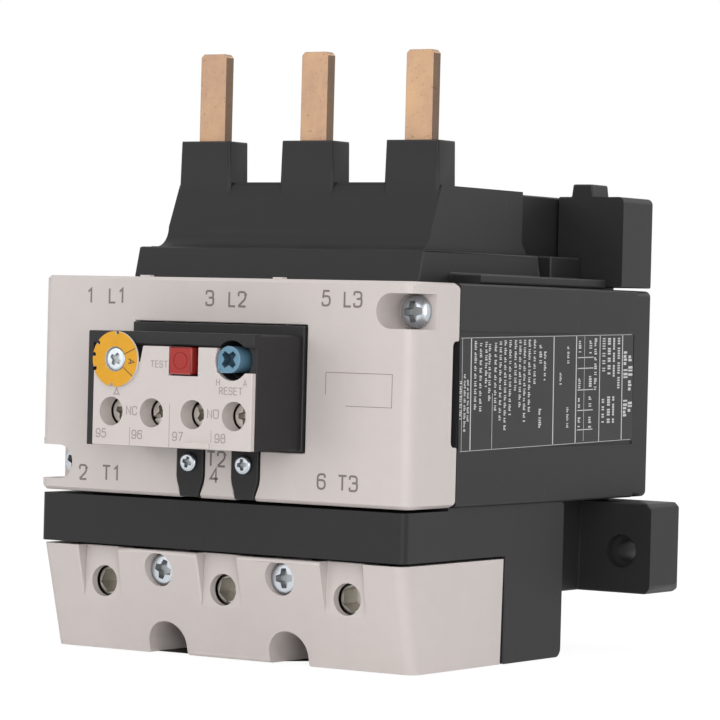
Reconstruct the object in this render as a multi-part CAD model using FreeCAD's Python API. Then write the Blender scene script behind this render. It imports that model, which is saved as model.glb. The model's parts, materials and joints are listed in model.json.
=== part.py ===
"""Thermal overload relay with copper line bars, box terminals and an auxiliary module.

Every size is in millimetres. The pieces are drawn in the cover frame: X runs to the right,
Y runs back from the front cover's face and Z runs up from the front cover's lower edge.
save() moves each piece to the part's own frame, whose origin is the middle of the two fixing
holes on the mounting plane, with the same axes.
"""
import FreeCAD, Part
import math
import os

Vector = FreeCAD.Vector
ALONG = {"x": Vector(1, 0, 0), "y": Vector(0, 1, 0), "z": Vector(0, 0, 1)}

# ---- housing envelope ----
half_width = 47.5
cover_height = 46.4
cover_depth = 18.0
panel_y = 100.0
base_thickness = 6.0
wall = 2.0
cover_corner = 2.5
seam = 0.3
label_notch_z = (12.4, 34.4)
label_notch_depth = 2.3

# ---- poles ----
pole_pitch = 27.0
pole_x = [-pole_pitch, 0.0, pole_pitch]
bar_width = 6.9
bar_thick = 2.8
bar_front = 32.6
bar_top = 96.3
bar_end_bevel = 0.8
bar_foot = 38.0
slot_gap = 0.25

# ---- shroud ----
shroud_half = 34.3
shroud_top = 67.3
shroud_front = 31.0
shroud_rear = 65.0
ledge_top = 53.4
ledge_half = 37.0
ledge_front = 18.7
flange_half = 44.5
flange_front = 31.0
flange_top = 48.6
neck_half = 30.0
tower_half = 6.65
tower_front = 30.0
tower_rear = 37.4
tower_top = 76.9
web_top = 67.9

# ---- rear base and its ears ----
ear_front = 86.5
hole_x = 49.1
hole_z = -11.7
hole_radius = 2.4
counterbore_radius = 3.7
counterbore_depth = 2.6
low_ear_x = (36.0, 56.5)
low_ear_z = (-21.0, -0.8)
support_half = 38.3
support_z = (-21.0, -0.1)
high_ear_x = 30.7
high_ear_top = 67.2
nose_x = (33.9, 39.8)
nose_rear = 93.8
nose_height = 2.8
base_corner = 1.4
bridge_half = 38.0
root_x = (30.0, 36.5)
gusset = (2.8, 2.1)

# ---- lower terminals ----
terminal_pitch = 31.3
terminal_x = [-terminal_pitch, 0.0, terminal_pitch]
lower_half = 46.5
band_bottom = -11.0
band_top = -0.7
lower_bottom = -34.0
lower_rear = 65.0
lower_face = 8.2
lower_inner_half = 43.0
chamber_half = 8.8
chamber_y = (9.4, 38.4)
chamber_top = -12.4
terminal_cover_top = -11.6
terminal_cover_bottom = lower_bottom
terminal_cover_lean = 5.8
terminal_cover_rear = 40.2
terminal_cover_draft = 0.3
terminal_wall = 1.8
pocket_half = 5.2
pocket_floor = 3.0
pocket_bottom = -22.5
key_hole_radius = 3.35
clamp_screw_z = -19.2
cover_screw_x = 15.6
cover_screw_z = -15.8
arch_half = 4.95
arch_height = 7.1
arch_depth = 24.0
arch_wall = 1.0
arch_gap = 0.25

# ---- box clamps ----
cage_half = 8.5
cage_y = (9.8, 38.0)
cage_z = (-26.9, -12.8)
cage_side = 2.4
cage_front_wall = 4.2
cage_rear_wall = 2.6
screw_radius = 3.95
screw_bore = 4.0
screw_bevel = 0.85
screw_front = 5.3
screw_tip_radius = 2.5
tip_bore = 2.55
tip_length = 1.5
pad_y = (19.0, 21.6)
pad_half = 5.6
pad_z = (-25.4, -14.2)
hex_across = 5.0
hex_depth = 5.5
load_bar_width = 11.0
load_bar_tip = -28.4
load_bar_top = 14.0

# ---- bimetals and heaters ----
strip_thick = 1.0
strip_y = (30.4, 38.0)
strip_z = (4.6, 43.6)
turn_count = 5
turn_pitch = 4.0
turn_height = 2.6
turn_bottom = 17.0
ribbon = 1.1
turn_half_x = 3.0
turn_y = (28.4, 40.0)

# ---- auxiliary module ----
module_half = 21.0
module_z = (11.0, 34.8)
module_front = -18.0
module_rear = 16.0
module_wall = 1.5
plate_thick = 1.4
plate_left = -19.5
plate_z = (11.0, 31.9)
hood_x = (-22.4, 21.6)
hood_z = (10.7, 36.8)
hood_gap = 0.2
aux_pitch = 10.4
aux_centre_x = 0.9
aux_x = [aux_centre_x + aux_pitch * k for k in (-1.5, -0.5, 0.5, 1.5)]
aux_z = 18.1
aux_hole_radius = 3.0
collar_depth = 4.0
aux_room_half = 3.7
aux_room_z = (12.4, 23.4)
aux_tail_z = (13.8, 14.8)
tongue_x = 7.05
tongue_half = 3.4
tongue_gap = 0.2
# half widths of a tongue against height, from its shoulder down to its tip
tongue_outline = [(3.4, 4.6), (3.15, 3.2), (2.65, 1.8), (2.35, 0.2)]
tongue_screw_z = 7.5
tongue_screw_radius = 2.0
tongue_shank_radius = 1.2

# ---- dial, buttons and their travel ----
dial_x = -13.5
dial_z = 28.95
dial_radius = 5.8
dial_front = -18.7
dial_thick = 0.6
dial_recess_radius = 2.6
dial_recess = 0.9
dial_hub_radius = 3.6
dial_head_radius = 2.4
dial_screw_radius = 1.1
dial_screw_length = 6.3
dial_shaft_radius = 1.9
shaft_bore = 1.95
test_x = 2.9
test_z = 29.05
test_half = 2.85
test_front = -20.4
test_travel = 2.2
reset_x = 15.0
reset_z = 29.6
reset_radius = 2.75
reset_front = -21.0
reset_travel = 2.5
stem_half = 1.3
stem_gap = 0.08
button_gap = 0.25

# ---- trip mechanism ----
cam_radius = 3.1
cam_offset = 0.7
cam_y = (10.0, 12.6)
slider_x = (-34.0, 33.0)
slider_y = (24.0, 26.8)
trip_slider_z = (10.0, 13.2)
loss_slider_z = (5.2, 8.2)
slider_travel = 2.4
slider_gap = 0.35
finger_reach = 32.2
finger_width = 1.6
pusher_z = (14.0, 16.4)
pusher_width = 2.0
lever_x = -4.5
lever_pivot_z = 29.0
lever_y = (10.0, 12.6)
lever_half = 0.5
lever_foot = 13.6
pivot_radius = 1.2
pivot_bore = 1.26
rocker_x = -9.0
rocker_half = 0.6
rocker_pivot_z = 21.8
rocker_y = (7.2, 9.4)
rocker_z = (13.4, 26.5)
carrier_z = (24.2, 27.2)
carrier_end = 17.4
carrier_travel = 1.5
contact_y = (3.4, 6.6)
bridge_z = (20.0, 20.8)
lug_thick = 0.6
post_thick = 0.9
post_top = 19.2
contact_gap = 0.1
plate_y = (13.4, 14.8)


def box(x, y, z):
    return Part.makeBox(x[1] - x[0], y[1] - y[0], z[1] - z[0], Vector(x[0], y[0], z[0]))


def cylinder(axis, centre, radius, span):
    """A cylinder along x, y or z: centre holds the other two coordinates in X, Y, Z order."""
    place = {"x": (span[0], centre[0], centre[1]),
             "y": (centre[0], span[0], centre[1]),
             "z": (centre[0], centre[1], span[0])}[axis]
    return Part.makeCylinder(radius, span[1] - span[0], Vector(*place), ALONG[axis])


def extrude(points, axis, span):
    """A prism: points hold the two coordinates across the axis, in X, Y, Z order."""
    def lift(point):
        if axis == "x":
            return Vector(span[0], point[0], point[1])
        if axis == "y":
            return Vector(point[0], span[0], point[1])
        return Vector(point[0], point[1], span[0])
    wire = Part.makePolygon([lift(point) for point in points + points[:1]])
    return Part.Face(wire).extrude(ALONG[axis] * (span[1] - span[0]))


def join(first, *others):
    shape = first.fuse(list(others)) if others else first
    return shape.removeSplitter()


def cut(shape, *tools):
    return shape.cut(list(tools))


def straight_edges(shape, chosen):
    """The straight edges for which chosen(direction, middle) is true."""
    edges = []
    for edge in shape.Edges:
        if not isinstance(edge.Curve, (Part.Line, Part.LineSegment)):
            continue
        ends = [vertex.Point for vertex in edge.Vertexes]
        span = ends[-1] - ends[0]
        if span.Length > 1e-6 and chosen(span.normalize(), (ends[0] + ends[-1]) * 0.5):
            edges.append(edge)
    return edges


def round_edges(shape, radius, chosen):
    edges = straight_edges(shape, chosen)
    return shape.makeFillet(radius, edges) if edges else shape


def bevel_edges(shape, size, chosen):
    """Bevel the straight edges for which chosen(direction, middle) is true."""
    return shape.makeChamfer(size, straight_edges(shape, chosen))


def rounded_box(x, y, z, radius, axis):
    """A box whose four edges along the given axis are rounded."""
    return round_edges(box(x, y, z), radius, lambda way, middle: abs(way.dot(ALONG[axis])) > 0.99)


def square_y(centre, half, span):
    return box((centre[0] - half, centre[0] + half), span, (centre[1] - half, centre[1] + half))


def bevelled_box(x, y, z, bevel, axis):
    """A box whose four edges along the given axis are bevelled."""
    shape = box(x, y, z)
    edges = [edge for edge in shape.Edges if abs(edge.tangentAt(0).dot(ALONG[axis])) > 0.99]
    return shape.makeChamfer(bevel, edges)


def hexagon_y(centre, across, span):
    corner = across / math.sqrt(3.0)
    points = [(centre[0] + corner * math.cos(math.radians(60 * k)),
               centre[1] + corner * math.sin(math.radians(60 * k))) for k in range(6)]
    return extrude(points, "y", span)


def cross_recess(x, z, size, span):
    """The cut of a cross driver, square to Y."""
    arm = size * 0.24
    return box((x - size, x + size), span, (z - arm, z + arm)).fuse(
        box((x - arm, x + arm), span, (z - size, z + size)))


def octagon_y(centre, radius, span):
    """An eight-sided prism along Y, round a circle of the radius."""
    corner = radius / math.cos(math.radians(22.5))
    points = [(centre[0] + corner * math.cos(math.radians(22.5 + 45 * k)),
               centre[1] + corner * math.sin(math.radians(22.5 + 45 * k))) for k in range(8)]
    return extrude(points, "y", span)


def fuse_all(shapes):
    return join(shapes[0], *shapes[1:])


def save(name, shape):
    shape = shape.copy()
    shape.translate(Vector(0, -panel_y, -hole_z))
    shape.exportStep("parts/" + name + ".step")


# ---- front cover -----------------------------------------------------------
corner_screw_x = half_width - 4.5
corner_screw_z = cover_height - 6.1
corner_head_radius = 3.55
corner_pocket_half = 3.65
corner_pocket_depth = 9.0
corner_head_y = 6.9
corner_shank_radius = 1.6
pillar_radius = 2.45
nub_x = (-20.6, 13.7)
# the two corner screws sit top right and bottom left
corner_screws = [(corner_screw_x, corner_screw_z, 1), (-corner_screw_x, cover_height - corner_screw_z, -1)]


def corner_pocket(x, z, side, grow, span):
    """A pocket with one round end, open towards the side wall."""
    radius = corner_pocket_half + grow
    centre = x - side * 0.8
    outer = side * (half_width + 1.0 - (1.0 if grow else 0.0))
    round_end = cylinder("y", (centre, z), radius, span)
    arm = box(sorted((centre, outer)), span, (z - radius, z + radius))
    return round_end.fuse(arm)


def tongue(x, grow, top, span):
    """The tapering tongue form at x, widened by grow and reaching up to top."""
    tip = tongue_outline[-1]
    outline = [(tongue_half, top)] + tongue_outline
    if grow:
        outline.append((tip[0], -1))
    right = [(x + half + grow, z) for half, z in outline]
    left = [(x - half - grow, z) for half, z in reversed(outline)]
    return extrude(right + left, "y", span)


def front_cover():
    outer = box((-half_width, half_width), (0, cover_depth), (0, cover_height))
    outer = round_edges(outer, cover_corner, lambda way, mid: abs(way.z) > 0.9 and mid.y < 1)
    outer = bevel_edges(outer, 0.7, lambda way, mid: abs(way.x) > 0.9 and mid.y < 1)
    outer = bevel_edges(outer, 1.2, lambda way, mid: abs(way.x) > 0.9 and mid.y > cover_depth - 1)
    inner = bevelled_box((-half_width + wall, half_width - wall), (wall, cover_depth + 1),
                         (wall, cover_height - wall), 1.0, "y")
    shape = outer.cut(inner)
    tray = box((-half_width + 0.5, half_width - 0.5), (0.5, cover_depth), (0.5, cover_height - 0.5))
    for x, z, side in corner_screws:
        sleeve = corner_pocket(x, z, side, 1.4, (0.8, corner_pocket_depth + 1.6)).common(tray)
        shape = shape.fuse(sleeve)
    for x, z, side in corner_screws:
        pocket = corner_pocket(x, z, side, 0, (-1, corner_pocket_depth))
        bore = cylinder("y", (x, z), corner_shank_radius + 0.3, (0, corner_pocket_depth + 3))
        shape = cut(shape, pocket, bore)
    window = box((hood_x[0] - hood_gap, hood_x[1] + hood_gap), (-1, wall + 1),
                 (hood_z[0] - hood_gap, hood_z[1] + hood_gap))
    notch = box((half_width - wall - 1, half_width + 1), (cover_depth - label_notch_depth, cover_depth + 1),
                label_notch_z)
    notch = round_edges(notch, 1.2, lambda way, mid: abs(way.x) > 0.9 and mid.y < cover_depth)
    cutters = [window, notch]
    for side in (-1, 1):
        cutters.append(tongue(side * tongue_x, tongue_gap, hood_z[0] + 0.5, (-1, wall + 1)))
    shape = cut(shape, *cutters)
    nubs = [box((x - 1.3, x + 1.3), (0.6, 2.0), (cover_height - 0.5, cover_height + 0.35))
            for x in nub_x]
    return join(shape, *nubs)


def cover_screws():
    """The two pan-head corner screws of the front cover."""
    screws = []
    for x, z, side in corner_screws:
        head = Part.makeCylinder(corner_head_radius, 2.1, Vector(x, corner_head_y, z), ALONG["y"])
        front = [edge for edge in head.Edges if abs(edge.BoundBox.YMax - corner_head_y) < 1e-6]
        head = head.makeChamfer(0.8, front)
        shank = cylinder("y", (x, z), corner_shank_radius, (corner_head_y + 2.0, corner_head_y + 14.0))
        screws.append(head.fuse(shank))
    return Part.makeCompound(screws)


# ---- main housing ----------------------------------------------------------
housing_rear = panel_y - base_thickness
housing_front = cover_depth + seam
housing_half = half_width
rail_span = (-38.0, 38.0)
tongue_inset = wall + 0.25
housing_wall = 2.4
collar_wall = 1.3


def main_housing():
    outer = bevelled_box((-housing_half, housing_half), (housing_front, housing_rear), (0, cover_height), 0.5, "y")
    inner = box((-housing_half + housing_wall, housing_half - housing_wall),
                (housing_front + collar_wall, housing_rear - housing_wall), (housing_wall, cover_height - housing_wall))
    collar_outer = bevelled_box((-half_width + tongue_inset, half_width - tongue_inset), (13.5, housing_front + 1),
                                (tongue_inset, cover_height - tongue_inset), 1.0, "y")
    mouth = tongue_inset + collar_wall
    collar_room = box((-half_width + mouth, half_width - mouth), (0, housing_front + collar_wall),
                      (mouth, cover_height - mouth))
    shape = cut(join(outer, collar_outer), inner, collar_room)
    walls = []
    for side in (-1, 1):
        x = side * pole_pitch / 2
        walls.append(box((x - 0.8, x + 0.8), (41.0, housing_rear - 1), (1, cover_height - 1)))
    for x, z, side in corner_screws:
        pillar_span = (corner_pocket_depth + 1.6, 30.0)
        pillar = cylinder("y", (x, z), pillar_radius, pillar_span)
        web = box(sorted((x, side * (half_width - tongue_inset - 0.1))), (14.0, 30.0), (z - 1, z + 1))
        walls += [pillar, web]
    # the rail and its two ledges guide the sliders, the block takes the module's two screws
    rail_y = (slider_y[0] - 2.0, slider_y[0] - 0.3)
    walls.append(box(rail_span, rail_y, (1.0, trip_slider_z[1] - 0.4)))
    for low, high in ((1.0, loss_slider_z[0] - 0.3), (loss_slider_z[1] + 0.3, trip_slider_z[0] - 0.3)):
        walls.append(box(rail_span, (rail_y[0], slider_y[0] + 2.0), (low, high)))
    walls.append(box((-11.5, 11.5), (wall + 0.2, 15.0), (tongue_inset, hood_z[0] - 0.5)))
    shape = join(shape, *walls)
    cutters = []
    for x in pole_x:
        slot_x = (x - bar_width / 2 - slot_gap, x + bar_width / 2 + slot_gap)
        slot_y = (bar_front - slot_gap, bar_front + bar_thick + slot_gap)
        cutters.append(box(slot_x, slot_y, (cover_height - 4, cover_height + 2)))
    for x, foot_x in zip(pole_x, terminal_x):
        low, high = load_bar_span(x, foot_x)
        cutters.append(box((low - slot_gap, high + slot_gap),
                           (bar_front - slot_gap, bar_front + bar_thick + slot_gap), (-2, 4)))
    for x, z, side in corner_screws:
        cutters.append(cylinder("y", (x, z), corner_shank_radius, (0, 22.0)))
    for side in (-1, 1):
        cutters.append(cylinder("y", (side * tongue_x, tongue_screw_z), tongue_shank_radius, (0, 8.0)))
    label_bed = box((housing_half - 0.2, housing_half + 1), (housing_front - 1, housing_rear - 1.0), (12.0, 36.5))
    return cut(shape, *cutters, label_bed)


def side_label():
    """The rating label's bare sheet in its shallow bed on the right side."""
    return box((housing_half - 0.2, housing_half - 0.02), (housing_front + 0.2, housing_rear - 1.2), (12.2, 36.3))


# ---- rear base -------------------------------------------------------------
def mounting_base():
    plate = box((-half_width, half_width), (housing_rear, panel_y), (0, cover_height))
    upper = box((-half_width, half_width), (ear_front, panel_y), (cover_height + 0.6, high_ear_top))
    bridge = box((-bridge_half, bridge_half), (housing_rear, panel_y), (cover_height - 1, cover_height + 2))
    shape = join(plate, upper, bridge)
    middle = box((-high_ear_x, high_ear_x), (ear_front - 1, housing_rear), (cover_height - 1, high_ear_top + 1))
    shape = cut(shape, middle)
    ears = [box((-support_half, support_half), (lower_rear + seam, panel_y), support_z).cut(
        box((-support_half + 2.4, support_half - 2.4), (lower_rear + 3.0, panel_y + 1),
            (support_z[0] + 2.4, support_z[1] - 2.4)))]
    for side in (-1, 1):
        x = sorted((side * low_ear_x[0], side * low_ear_x[1]))
        ear = bevelled_box(x, (ear_front, panel_y), low_ear_z, 1.2, "y")
        root = box(sorted((side * root_x[0], side * root_x[1])), (housing_rear, panel_y), (-4, 4))
        nose = extrude([(side * nose_x[0], high_ear_top - 1), (side * nose_x[1], high_ear_top - 1),
                        (side * (nose_x[1] - 0.5), high_ear_top + nose_height),
                        (side * (nose_x[0] + 0.5), high_ear_top + nose_height)], "y", (ear_front, nose_rear))
        ears += [ear, root, nose]
    shape = join(shape, *ears)
    rear = lower_rear + seam
    under = support_z[0]
    shape = join(shape, extrude([(rear, under + 1), (rear, under - gusset[1]), (rear + gusset[0], under),
                                 (rear + gusset[0], under + 1)], "x", (-support_half, support_half)))
    rounded = (0, cover_height, high_ear_top)
    shape = round_edges(shape, base_corner, lambda way, mid: abs(way.y) > 0.9 and abs(abs(mid.x) - half_width) < 0.1
                        and min(abs(mid.z - level) for level in rounded) < 0.1)
    holes = []
    for side in (-1, 1):
        centre = (side * hole_x, hole_z)
        holes.append(cylinder("y", centre, hole_radius, (ear_front - 1, panel_y + 1)))
        holes.append(cylinder("y", centre, counterbore_radius, (ear_front - 1, ear_front + counterbore_depth)))
    return cut(shape, *holes)


# ---- top shroud ------------------------------------------------------------
def shroud_side_outline():
    """The shroud's outline seen from its side, as (y, z) points and one concave arc."""
    fillet = 4.5
    start = Vector(0, 27.2, 53.4 + fillet)
    corner = Vector(0, 27.2 - fillet * (1 - math.cos(math.radians(45))), 53.4 + fillet * (1 - math.sin(math.radians(45))))
    end = Vector(0, 27.2 - fillet, 53.4)
    base = cover_height + 0.1
    points = [Vector(0, ledge_front, base), Vector(0, ledge_front + 1.6, ledge_top - 0.6),
              Vector(0, ledge_front + 2.3, ledge_top), end]
    edges = [Part.makeLine(a, b) for a, b in zip(points, points[1:])]
    edges.append(Part.Arc(end, corner, start).toShape())
    rest = [start, Vector(0, shroud_front, shroud_top), Vector(0, shroud_rear, shroud_top),
            Vector(0, shroud_rear, 56.0), Vector(0, shroud_rear + 3, 53.0), Vector(0, shroud_rear + 3, base), points[0]]
    edges += [Part.makeLine(a, b) for a, b in zip(rest, rest[1:])]
    return Part.Wire(edges)


def top_shroud():
    outline = shroud_side_outline()
    body = Part.Face(outline).extrude(Vector(2 * shroud_half, 0, 0))
    body.translate(Vector(-shroud_half, 0, 0))
    base = cover_height + 0.1
    ledge = extrude([(ledge_front - 0.2, base), (ledge_front + 1.4, ledge_top - 0.6), (ledge_front + 2.1, ledge_top - 0.1),
                     (shroud_rear + 2.5, ledge_top - 0.1), (shroud_rear + 3, base)], "x", (-ledge_half, ledge_half))
    flange = box((-flange_half, flange_half), (flange_front, ear_front - 1.9), (base, flange_top))
    neck = box((-neck_half, neck_half), (shroud_rear - 1, housing_rear - 0.2), (base, shroud_top - 0.3))
    block = box((-neck_half - 7, neck_half + 7), (73.0, 86.0), (base, ledge_top))
    shape = join(body, ledge, flange, neck, block)
    parts = []
    for x in pole_x:
        tower = extrude([(x - tower_half - 0.35, shroud_top - 4), (x + tower_half + 0.35, shroud_top - 4),
                         (x + tower_half, tower_top), (x - tower_half, tower_top)], "y", (tower_front, tower_rear))
        tower = bevel_edges(tower, 0.6, lambda way, mid: abs(way.z) > 0.9)
        parts.append(tower)
    parts.append(box((-pole_pitch, pole_pitch), (tower_front + 1.4, tower_rear + 0.6), (shroud_top - 3, web_top)))
    shape = join(shape, *parts)
    cutters = []
    for x in pole_x:
        slot_x = (x - bar_width / 2 - slot_gap, x + bar_width / 2 + slot_gap)
        slot_y = (bar_front - slot_gap, bar_front + bar_thick + slot_gap)
        cutters.append(box(slot_x, slot_y, (base - 1, tower_top + 1)))
        low = max(x - 10.5, -shroud_half + 2.5)
        high = min(x + 10.5, shroud_half - 2.5)
        cutters.append(box((low, high), (41.0, shroud_rear - 3.5), (base - 1, shroud_top - 3)))
    for x in (-19.0, 0.0, 19.0):
        cutters.append(box((x - 8.5, x + 8.5), (shroud_rear + 1.0, housing_rear - 2.7), (base - 1, shroud_top - 3)))
    return cut(shape, *cutters)


# ---- current path ----------------------------------------------------------
def line_bar(x):
    bar = box((x - bar_width / 2, x + bar_width / 2), (bar_front, bar_front + bar_thick), (bar_foot, bar_top))
    return bevel_edges(bar, bar_end_bevel, lambda way, mid: abs(way.y) > 0.9 and mid.z > bar_top - 0.1)


def bimetal(x):
    """A strip welded on the bar's left face: its lower end bends towards -X when it warms."""
    left = x - bar_width / 2 - strip_thick
    return box((left, left + strip_thick), strip_y, strip_z)


def heater(x):
    """A flat ribbon wound round the strip, from the line bar's foot to the load bar."""
    middle = x - bar_width / 2 - strip_thick / 2
    pieces = []
    for k in range(turn_count):
        z = turn_bottom + k * turn_pitch
        span_z = (z, z + turn_height)
        outer = bevelled_box((middle - turn_half_x, middle + turn_half_x), turn_y, span_z, ribbon, "z")
        inner = box((middle - turn_half_x + ribbon, middle + turn_half_x - ribbon),
                    (turn_y[0] + ribbon, turn_y[1] - ribbon), (z - 1, z + turn_height + 1))
        pieces.append(outer.cut(inner))
        if k:
            side = (turn_y[0], turn_y[0] + ribbon) if k % 2 else (turn_y[1] - ribbon, turn_y[1])
            pieces.append(box((middle - 1.2, middle + 1.2), side, (z - turn_pitch + turn_height - 0.1, z + 0.1)))
    top = turn_bottom + (turn_count - 1) * turn_pitch + turn_height
    bar_y = (bar_front, bar_front + bar_thick)
    right = middle + turn_half_x
    pieces.append(box((right - ribbon, x + bar_width / 2), bar_y, (top, bar_foot)))
    pieces.append(box((right - ribbon, right), bar_y, (top - 0.5, top + 0.5)))
    pieces.append(box((right - ribbon, right + 1.5), bar_y, (load_bar_top, turn_bottom + 0.3)))
    return fuse_all(pieces)


def load_bar_span(x, foot_x):
    low = x - bar_width / 2 + 1.2
    high = x + bar_width / 2 + 1.2
    return (min(low, foot_x - load_bar_width / 2 + 2.2), max(high, foot_x + load_bar_width / 2 - 2.2))


def load_bar(x, foot_x):
    """The bar that steps out from the pole's pitch to the terminal's pitch."""
    y = (bar_front, bar_front + bar_thick)
    low = x - bar_width / 2 + 1.2
    high = x + bar_width / 2 + 1.2
    foot = (foot_x - load_bar_width / 2, foot_x + load_bar_width / 2)
    span = load_bar_span(x, foot_x)
    upper = box((low, high), y, (-1.0, load_bar_top))
    through = box(span, y, (-8.0, 1.0 + 2.6))
    lower = box((min(span[0], foot[0]), max(span[1], foot[1])), y, (-8.4, -2.6))
    blade = box(foot, y, (load_bar_tip, -4.0))
    bar = join(upper, through, lower, blade)
    return bevel_edges(bar, 1.0, lambda way, mid: abs(way.y) > 0.9 and mid.z < load_bar_tip + 0.1)


# ---- lower terminals -------------------------------------------------------
def lower_terminal_housing():
    band = box((-46.8, 46.8), (0, cover_depth - 0.5), (band_bottom, band_top))
    band = round_edges(band, 1.6, lambda way, mid: abs(way.z) > 0.9 and mid.y < 0.1)
    core = box((-lower_inner_half, lower_inner_half), (lower_face, terminal_cover_rear + 2.0), (lower_bottom, band_bottom + 1))
    rear = box((-lower_half, lower_half), (cover_depth - 1.0, lower_rear), (band_bottom, -0.1))
    block = box((-lower_half, lower_half), (terminal_cover_rear + 0.6, lower_rear), (lower_bottom, band_bottom + 1))
    block = round_edges(block, 2.0, lambda way, mid: abs(way.x) > 0.9 and mid.y > lower_rear - 0.1 and mid.z < -20)
    shape = join(band, core, rear, block)
    cutters = []
    for x in terminal_x:
        chamber = box((x - chamber_half, x + chamber_half), chamber_y, (lower_bottom - 1, chamber_top))
        key_way = octagon_y((x, clamp_screw_z), screw_radius + 0.55, (0, chamber_y[0] + 1))
        cutters += [chamber, key_way]
    for x, foot_x in zip(pole_x, terminal_x):
        span = load_bar_span(x, foot_x)
        foot = (foot_x - load_bar_width / 2, foot_x + load_bar_width / 2)
        slot_y = (bar_front - slot_gap, bar_front + bar_thick + slot_gap)
        low = min(span[0], foot[0]) - slot_gap
        high = max(span[1], foot[1]) + slot_gap
        cutters.append(box((low, high), slot_y, (chamber_top - 1, 2)))
    for side in (-1, 1):
        x = side * cover_screw_x
        cutters.append(cylinder("y", (x, cover_screw_z), 1.5, (0, 22.0)))
        cutters.append(arch(x, arch_wall + arch_gap, (0, arch_depth + arch_gap)))
    # the hollow behind the terminals, open at the rear
    cutters.append(box((-40.0, 40.0), (45.0, lower_rear + 1), (lower_bottom + 3, -4.0)))
    shape = cut(shape, *cutters)
    ribs = [box((x - 1.0, x + 1.0), (44.0, lower_rear - 1.0), (lower_bottom + 1, -3.0))
            for x in (-terminal_pitch / 2, terminal_pitch / 2)]
    return join(shape, *ribs)


def rounded_section(half_x, y, z, radius):
    """A closed wire at height z: a rectangle with round front corners."""
    front, rear = y
    turn = radius * (1 - math.sqrt(0.5))
    left = Part.Arc(Vector(-half_x, front + radius, z), Vector(-half_x + turn, front + turn, z),
                    Vector(-half_x + radius, front, z)).toShape()
    right = Part.Arc(Vector(half_x - radius, front, z), Vector(half_x - turn, front + turn, z),
                     Vector(half_x, front + radius, z)).toShape()
    edges = [left, Part.makeLine(Vector(-half_x + radius, front, z), Vector(half_x - radius, front, z)), right,
             Part.makeLine(Vector(half_x, front + radius, z), Vector(half_x, rear, z)),
             Part.makeLine(Vector(half_x, rear, z), Vector(-half_x, rear, z)),
             Part.makeLine(Vector(-half_x, rear, z), Vector(-half_x, front + radius, z))]
    return Part.Wire(edges)


def leaning_shell(inset, rear, grow):
    """The terminal cover's leaning form, inset by a wall; grow lengthens it past both ends."""
    lean = terminal_cover_lean / (terminal_cover_top - terminal_cover_bottom)
    draft = terminal_cover_draft / (terminal_cover_top - terminal_cover_bottom)
    sections = []
    for z in (terminal_cover_top + grow, terminal_cover_bottom - grow):
        drop = terminal_cover_top - z
        sections.append(rounded_section(lower_half - inset - draft * drop, (inset + lean * drop, rear), z,
                                        max(0.6, cover_corner - inset)))
    return Part.makeLoft(sections, True, True)


def arch(x, grow, span):
    """The form of the tunnel under each screw of the terminal cover, widened by grow."""
    half = arch_half + grow
    spring_line = terminal_cover_bottom + arch_height - arch_half
    foot = box((x - half, x + half), span, (terminal_cover_bottom - 1, spring_line))
    return join(foot, cylinder("y", (x, spring_line), half, span))


def lower_terminal_cover():
    outer = leaning_shell(0, terminal_cover_rear, 0)
    inner = leaning_shell(terminal_wall, terminal_cover_rear + 5, 2)
    # behind each pocket the wall stands straight
    pockets = [box((x - pocket_half, x + pocket_half), (-3, pocket_floor), (pocket_bottom - 4, terminal_cover_top + 2))
               for x in terminal_x]
    backs = [box((x - pocket_half - 1.4, x + pocket_half + 1.4), (1.0, pocket_floor + terminal_wall),
                 (pocket_bottom - 3, terminal_cover_top - 0.02)).common(outer) for x in terminal_x]
    bosses = [cylinder("y", (side * cover_screw_x, cover_screw_z), 5.0, (1.5, lower_face - 0.05)).common(outer)
              for side in (-1, 1)]
    tunnels = [arch(side * cover_screw_x, arch_wall, (terminal_wall, arch_depth)).common(outer) for side in (-1, 1)]
    shape = join(outer.cut(inner), *(backs + bosses + tunnels))
    cutters = list(pockets)
    for x in terminal_x:
        cutters.append(cylinder("y", (x, clamp_screw_z), key_hole_radius, (-3, 7)))
    for side in (-1, 1):
        x = side * cover_screw_x
        cutters.append(cylinder("y", (x, cover_screw_z), 3.6, (-3, 4.6)))
        cutters.append(cylinder("y", (x, cover_screw_z), 1.8, (-3, 12)))
        cutters.append(arch(x, 0, (-3, arch_depth - arch_wall)))
    return cut(shape, *cutters)


def terminal_cover_screws():
    screws = []
    for side in (-1, 1):
        x = side * cover_screw_x
        head = cylinder("y", (x, cover_screw_z), 3.3, (2.7, 4.6))
        shank = cylinder("y", (x, cover_screw_z), 1.5, (4.5, 17.0))
        screws.append(head.fuse(shank))
    return Part.makeCompound(screws)


def clamp_cage(x):
    """A box clamp: the screw is threaded through its front wall, its rear wall draws up the bar."""
    shape = bevelled_box((x - cage_half, x + cage_half), cage_y, cage_z, 0.8, "z")
    space = box((x - cage_half + cage_side, x + cage_half - cage_side),
                (cage_y[0] + cage_front_wall, cage_y[1] - cage_rear_wall), (cage_z[0] - 1, cage_z[1] + 1))
    thread = cylinder("y", (x, clamp_screw_z), screw_bore, (cage_y[0] - 1, cage_y[0] + cage_front_wall + 1))
    return cut(shape, space, thread)


def clamp_pad(x):
    """The pressure plate that the screw's tip carries."""
    pad = box((x - pad_half, x + pad_half), pad_y, pad_z)
    pad = bevel_edges(pad, 0.8, lambda way, mid: abs(way.y) > 0.9)
    return pad.cut(cylinder("y", (x, clamp_screw_z), tip_bore, (pad_y[0] - 1, pad_y[0] + tip_length + 0.1)))


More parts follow.
